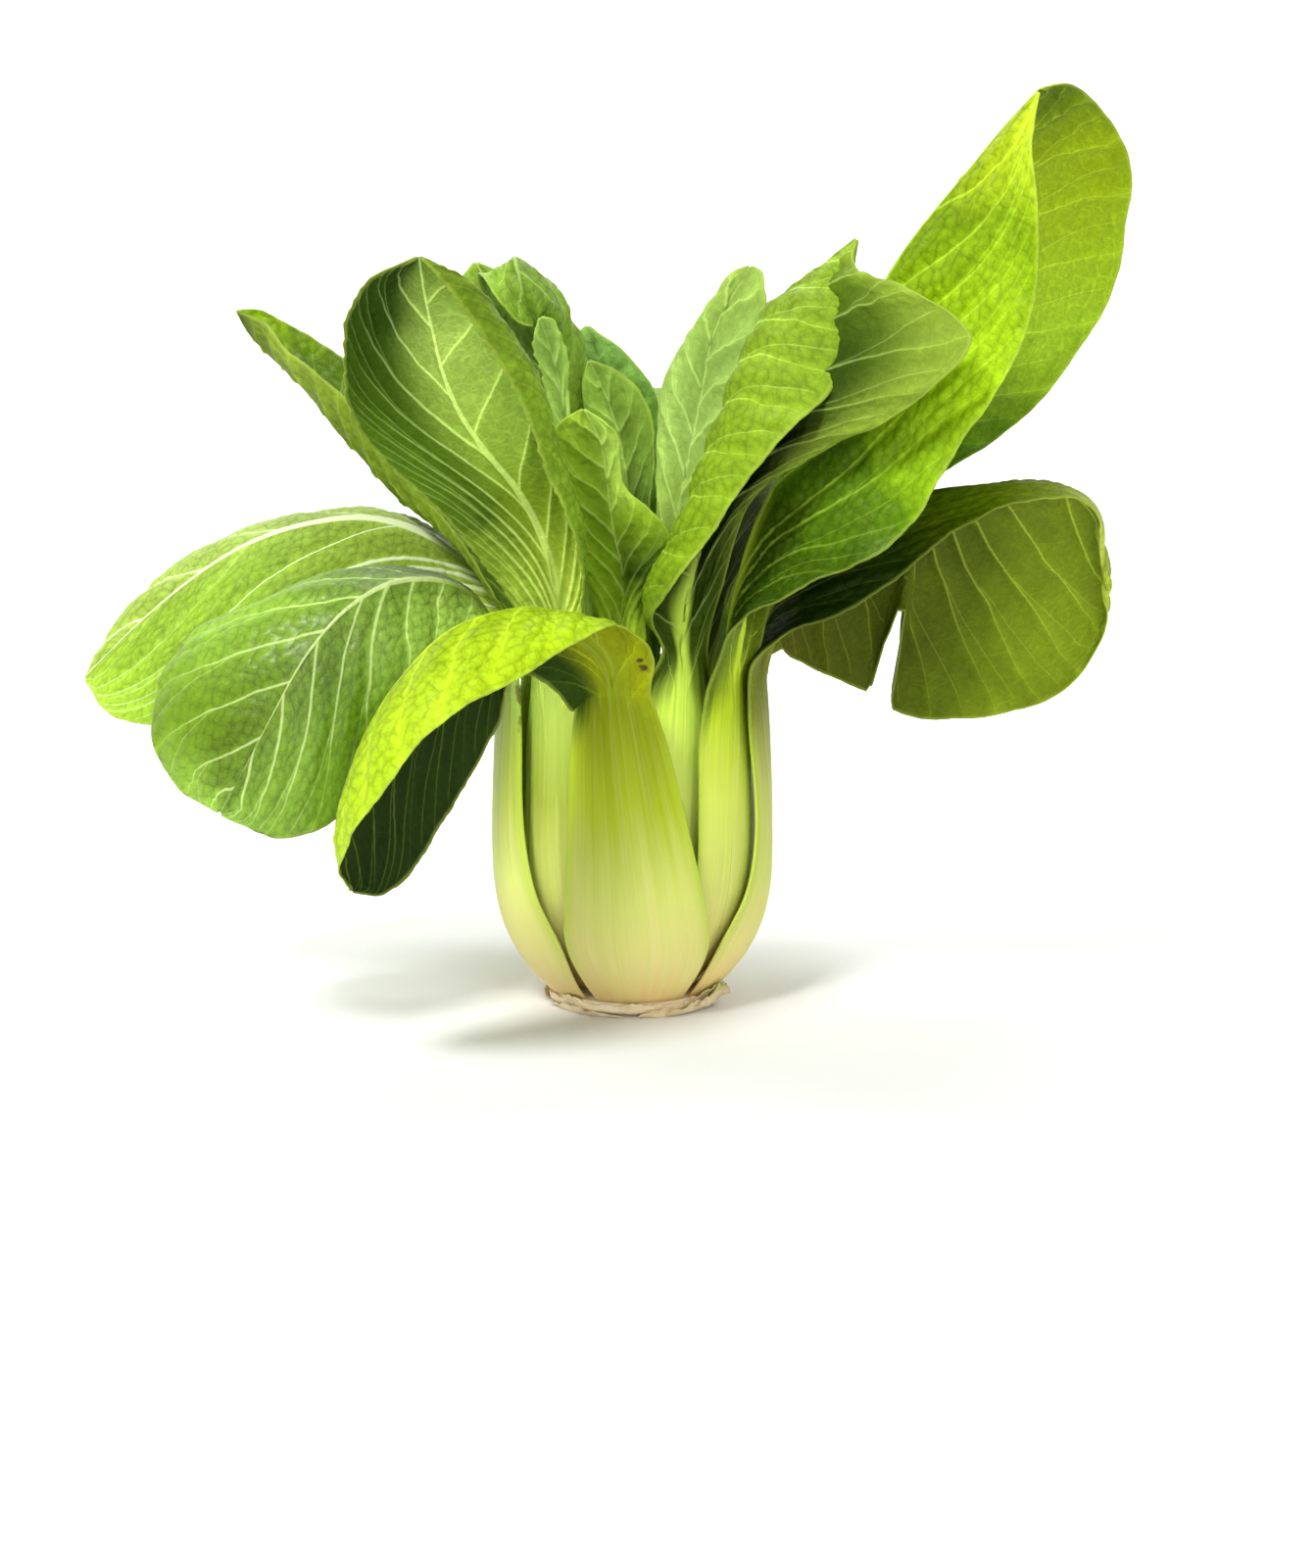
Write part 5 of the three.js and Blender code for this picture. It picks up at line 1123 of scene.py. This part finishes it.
def stem_rows(circle, tall):
    """Radius and height of each row around the stem: cut face, torn rim, and the steps inside it."""
    ragged = 0.55 * noise(circle, 1, 61) + 0.3 * noise(circle * 2.6, 2, 62)
    rows = [(radius, 0) for radius in CUT_RADII]
    rows += [
        (CUT_RADIUS, 0.15),
        (RIM_RADIUS - 1.6 + 0.4 * ragged, 0.7),
        (RIM_RADIUS - 0.4 + ragged * 0.5, 1.4 + 0.3 * ragged),
    ]
    torn = 0.35 * noise(circle * 3.1, 7, 64) + (0.3 + 0.5 * tall) * noise(circle * 6.3, 8, 66)
    for share in (0, 0.2, 0.4, 0.6, 0.8, 0.94, 1):
        out = mix(RIM_RADIUS + 0.5 * ragged, STUB_RADIUS, tall * share**1.3)
        rise = mix(2.1, mix(3.9, STUB_HEIGHT, tall), share)
        out = out + 0.35 * math.sin(math.pi * share) * noise(circle * 4.2, share * 2, 67)
        rows.append((out - 0.25 * (share == 1), rise + share * np.minimum(torn, 0.4)))
    top_radius, top_rise = rows[-1]
    rows.append((top_radius - 0.7, top_rise - 0.1))
    for share in (0.7, 0.35, 0):
        rows.append((
            mix(RIM_RADIUS - 0.8 + 2.2 * tall, top_radius - 1.1, share),
            mix(RINGS[0]["foot"] - STEP_GAP - 0.2, top_rise - 0.5, share),
        ))
    hollow = RIM_STEP
    for ring in RINGS:
        level = ring["foot"] - STEP_GAP
        rows.append((BELLY_RADIUS * bulge(ring["foot"]) - hollow, level))
        hollow = ring["depth"][0] + ring["thick"] + STEP_WALL
        rows.append((BELLY_RADIUS * bulge(ring["foot"]) - hollow, level))
    return rows + [(CUT_RADII[0], RINGS[-1]["foot"] + 1.0)]


def stem_mesh():
    angle = np.linspace(0, 360, STEM_SIDES, endpoint=False)
    turn = np.radians(angle)
    circle = np.linspace(0, 40, STEM_SIDES, endpoint=False)
    tall = np.clip(stub_at(angle) * (1 + 0.25 * noise(circle * 2.2, 5, 63)), 0, 1)
    rows = stem_rows(circle, tall)
    grid = np.array([np.stack([r * np.cos(turn), r * np.sin(turn), z + 0 * turn], -1) for r, z in rows])
    index = np.arange(len(rows) * STEM_SIDES).reshape(len(rows), STEM_SIDES)
    following = np.roll(index, -1, axis=1)
    quads = np.stack([index[:-1], following[:-1], following[1:], index[1:]], -1).reshape(-1, 4)
    mesh = new_mesh("stem", grid, quads.tolist() + [index[0][::-1].tolist(), index[-1].tolist()])
    mesh.validate()
    return mesh


def flake_grid(start, end, radius, lean, foot, height, seed):
    """One flake as two faces of a thin curled sheet, with a ragged top."""
    count = int((end - start) / 0.8)
    u = np.linspace(0, 1, count)[None, :]
    v = np.linspace(0, 1, FLAKE_ROWS)[:, None]
    turn = np.radians(mix(start, end, u))
    taper = np.sin(np.pi * np.clip(u, 0.02, 0.98)) ** 0.45
    ragged = 0.78 + 0.22 * noise(u * count / 7, 1, seed) + 0.14 * noise(u * count / 2.4, 2, seed)
    rise = foot + height * v * taper * np.clip(ragged, 0.3, 1.1)
    curl = lean * v**1.6 + 0.30 * noise(u * count / 9, v * 2, seed + 1) - 0.5 * (1 - taper)
    faces = []
    for inside in (0, FLAKE_THICK * mix(1, 0.45, v)):
        r = radius + curl - inside
        faces.append(np.stack([r * np.cos(turn), r * np.sin(turn), rise + 0 * turn], -1))
    return faces, v + 0 * u


def flakes_mesh():
    points, corners, edges = [], [], []
    start = 0
    for k, flake in enumerate(FLAKES):
        (outer, inner), share = flake_grid(*flake, 80 + k)
        rows, columns = share.shape
        index = start + np.arange(2 * rows * columns).reshape(2 * rows, columns)
        following = np.roll(index, -1, axis=0)
        walls = np.stack([index[:, :-1], index[:, 1:], following[:, 1:], following[:, :-1]], -1)
        corners += walls.reshape(-1, 4).tolist()
        for column, flip in ((0, False), (columns - 1, True)):
            line = index[:, column].tolist()
            for row in range(rows - 1):
                quad = [line[row], line[row + 1], line[-2 - row], line[-1 - row]]
                corners.append(quad[::-1] if flip else quad)
        points.append(np.concatenate([outer, inner[::-1]]).reshape(-1, 3))
        edges.append(np.concatenate([share, share[::-1]]).ravel())
        start += index.size
    mesh = new_mesh("stem_flakes", np.concatenate(points), corners)
    store(mesh, "edge", np.concatenate(edges))
    mesh.validate()
    return mesh


def add_object(name, data):
    thing = bpy.data.objects.new(name, data)
    bpy.context.scene.collection.objects.link(thing)
    return thing


def piece(name, mesh, material, slot, *nodes):
    thing = add_object(name, mesh)
    mesh.materials.append(material)
    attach(thing, "root")
    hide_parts(*nodes)


for seed, leaf in enumerate(LEAVES, 1):
    look = {**COMMON, **LOOKS[leaf["name"]], "seed": seed}
    piece(leaf["name"] + "_grown", leaf_mesh(leaf, look), leaf_material(leaf, look), "leaf", leaf["name"])
cut_material = stem_material()
piece("stem_cut", stem_mesh(), cut_material, "stem", "stem")
piece("stem_flakes", flakes_mesh(), cut_material, "stem", "stem")


def floor():
    """A round pale floor that curves up into a wall far off on every side."""
    bend = np.radians(np.linspace(0, 90, 13))
    profile = [(0.4, 0.0), (FLOOR_FLAT, 0.0)]
    profile += [(FLOOR_FLAT + WALL_BEND * math.sin(t), WALL_BEND * (1 - math.cos(t))) for t in bend[1:]]
    profile.append((FLOOR_FLAT + WALL_BEND, WALL_TOP))
    turn = np.linspace(0, 2 * np.pi, FLOOR_SIDES, endpoint=False)
    points = [(r * math.cos(t), r * math.sin(t), z) for r, z in profile for t in turn]
    faces = [list(range(FLOOR_SIDES))]
    for k in range(len(profile) - 1):
        for i in range(FLOOR_SIDES):
            j = (i + 1) % FLOOR_SIDES
            low, high = k * FLOOR_SIDES, (k + 1) * FLOOR_SIDES
            faces.append((low + i, high + i, high + j, low + j))
    mesh = bpy.data.meshes.new("floor")
    mesh.from_pydata(points, [], faces)
    mesh.shade_smooth()
    n = Nodes("pale_floor")
    skin = n.named("BsdfPrincipled", {"Base Color": FLOOR_COLOUR, "Roughness": 0.75})
    mesh.materials.append(n.finish(skin))
    thing = add_object("floor", mesh)


def area_light(name, place, target, size, power):
    data = bpy.data.lights.new(name, "AREA")
    data.shape = "DISK"
    data.size = size
    data.energy = power
    light = add_object(name, data)
    light.location = place
    light.rotation_mode = "QUATERNION"
    light.rotation_quaternion = (Vector(target) - Vector(place)).to_track_quat("-Z", "Y")


floor()
for light in LIGHTS:
    area_light(*light)
world = bpy.data.worlds.new("studio")
world.use_nodes = True
background = world.node_tree.nodes["Background"]
background.inputs["Color"].default_value = (1, 1, 1, 1)
background.inputs["Strength"].default_value = WORLD_STRENGTH
bpy.context.scene.world = world
bpy.context.scene.view_settings.view_transform = "Standard"

camera_data = bpy.data.cameras.new("camera")
camera_data.lens = CAMERA_LENS
camera_data.sensor_width = CAMERA_SENSOR
camera_data.clip_start = 0.02
camera = add_object("camera", camera_data)
camera.location = CAMERA_PLACE
camera.rotation_euler = (math.pi / 2 - CAMERA_PITCH, 0, 0)
bpy.context.scene.camera = camera
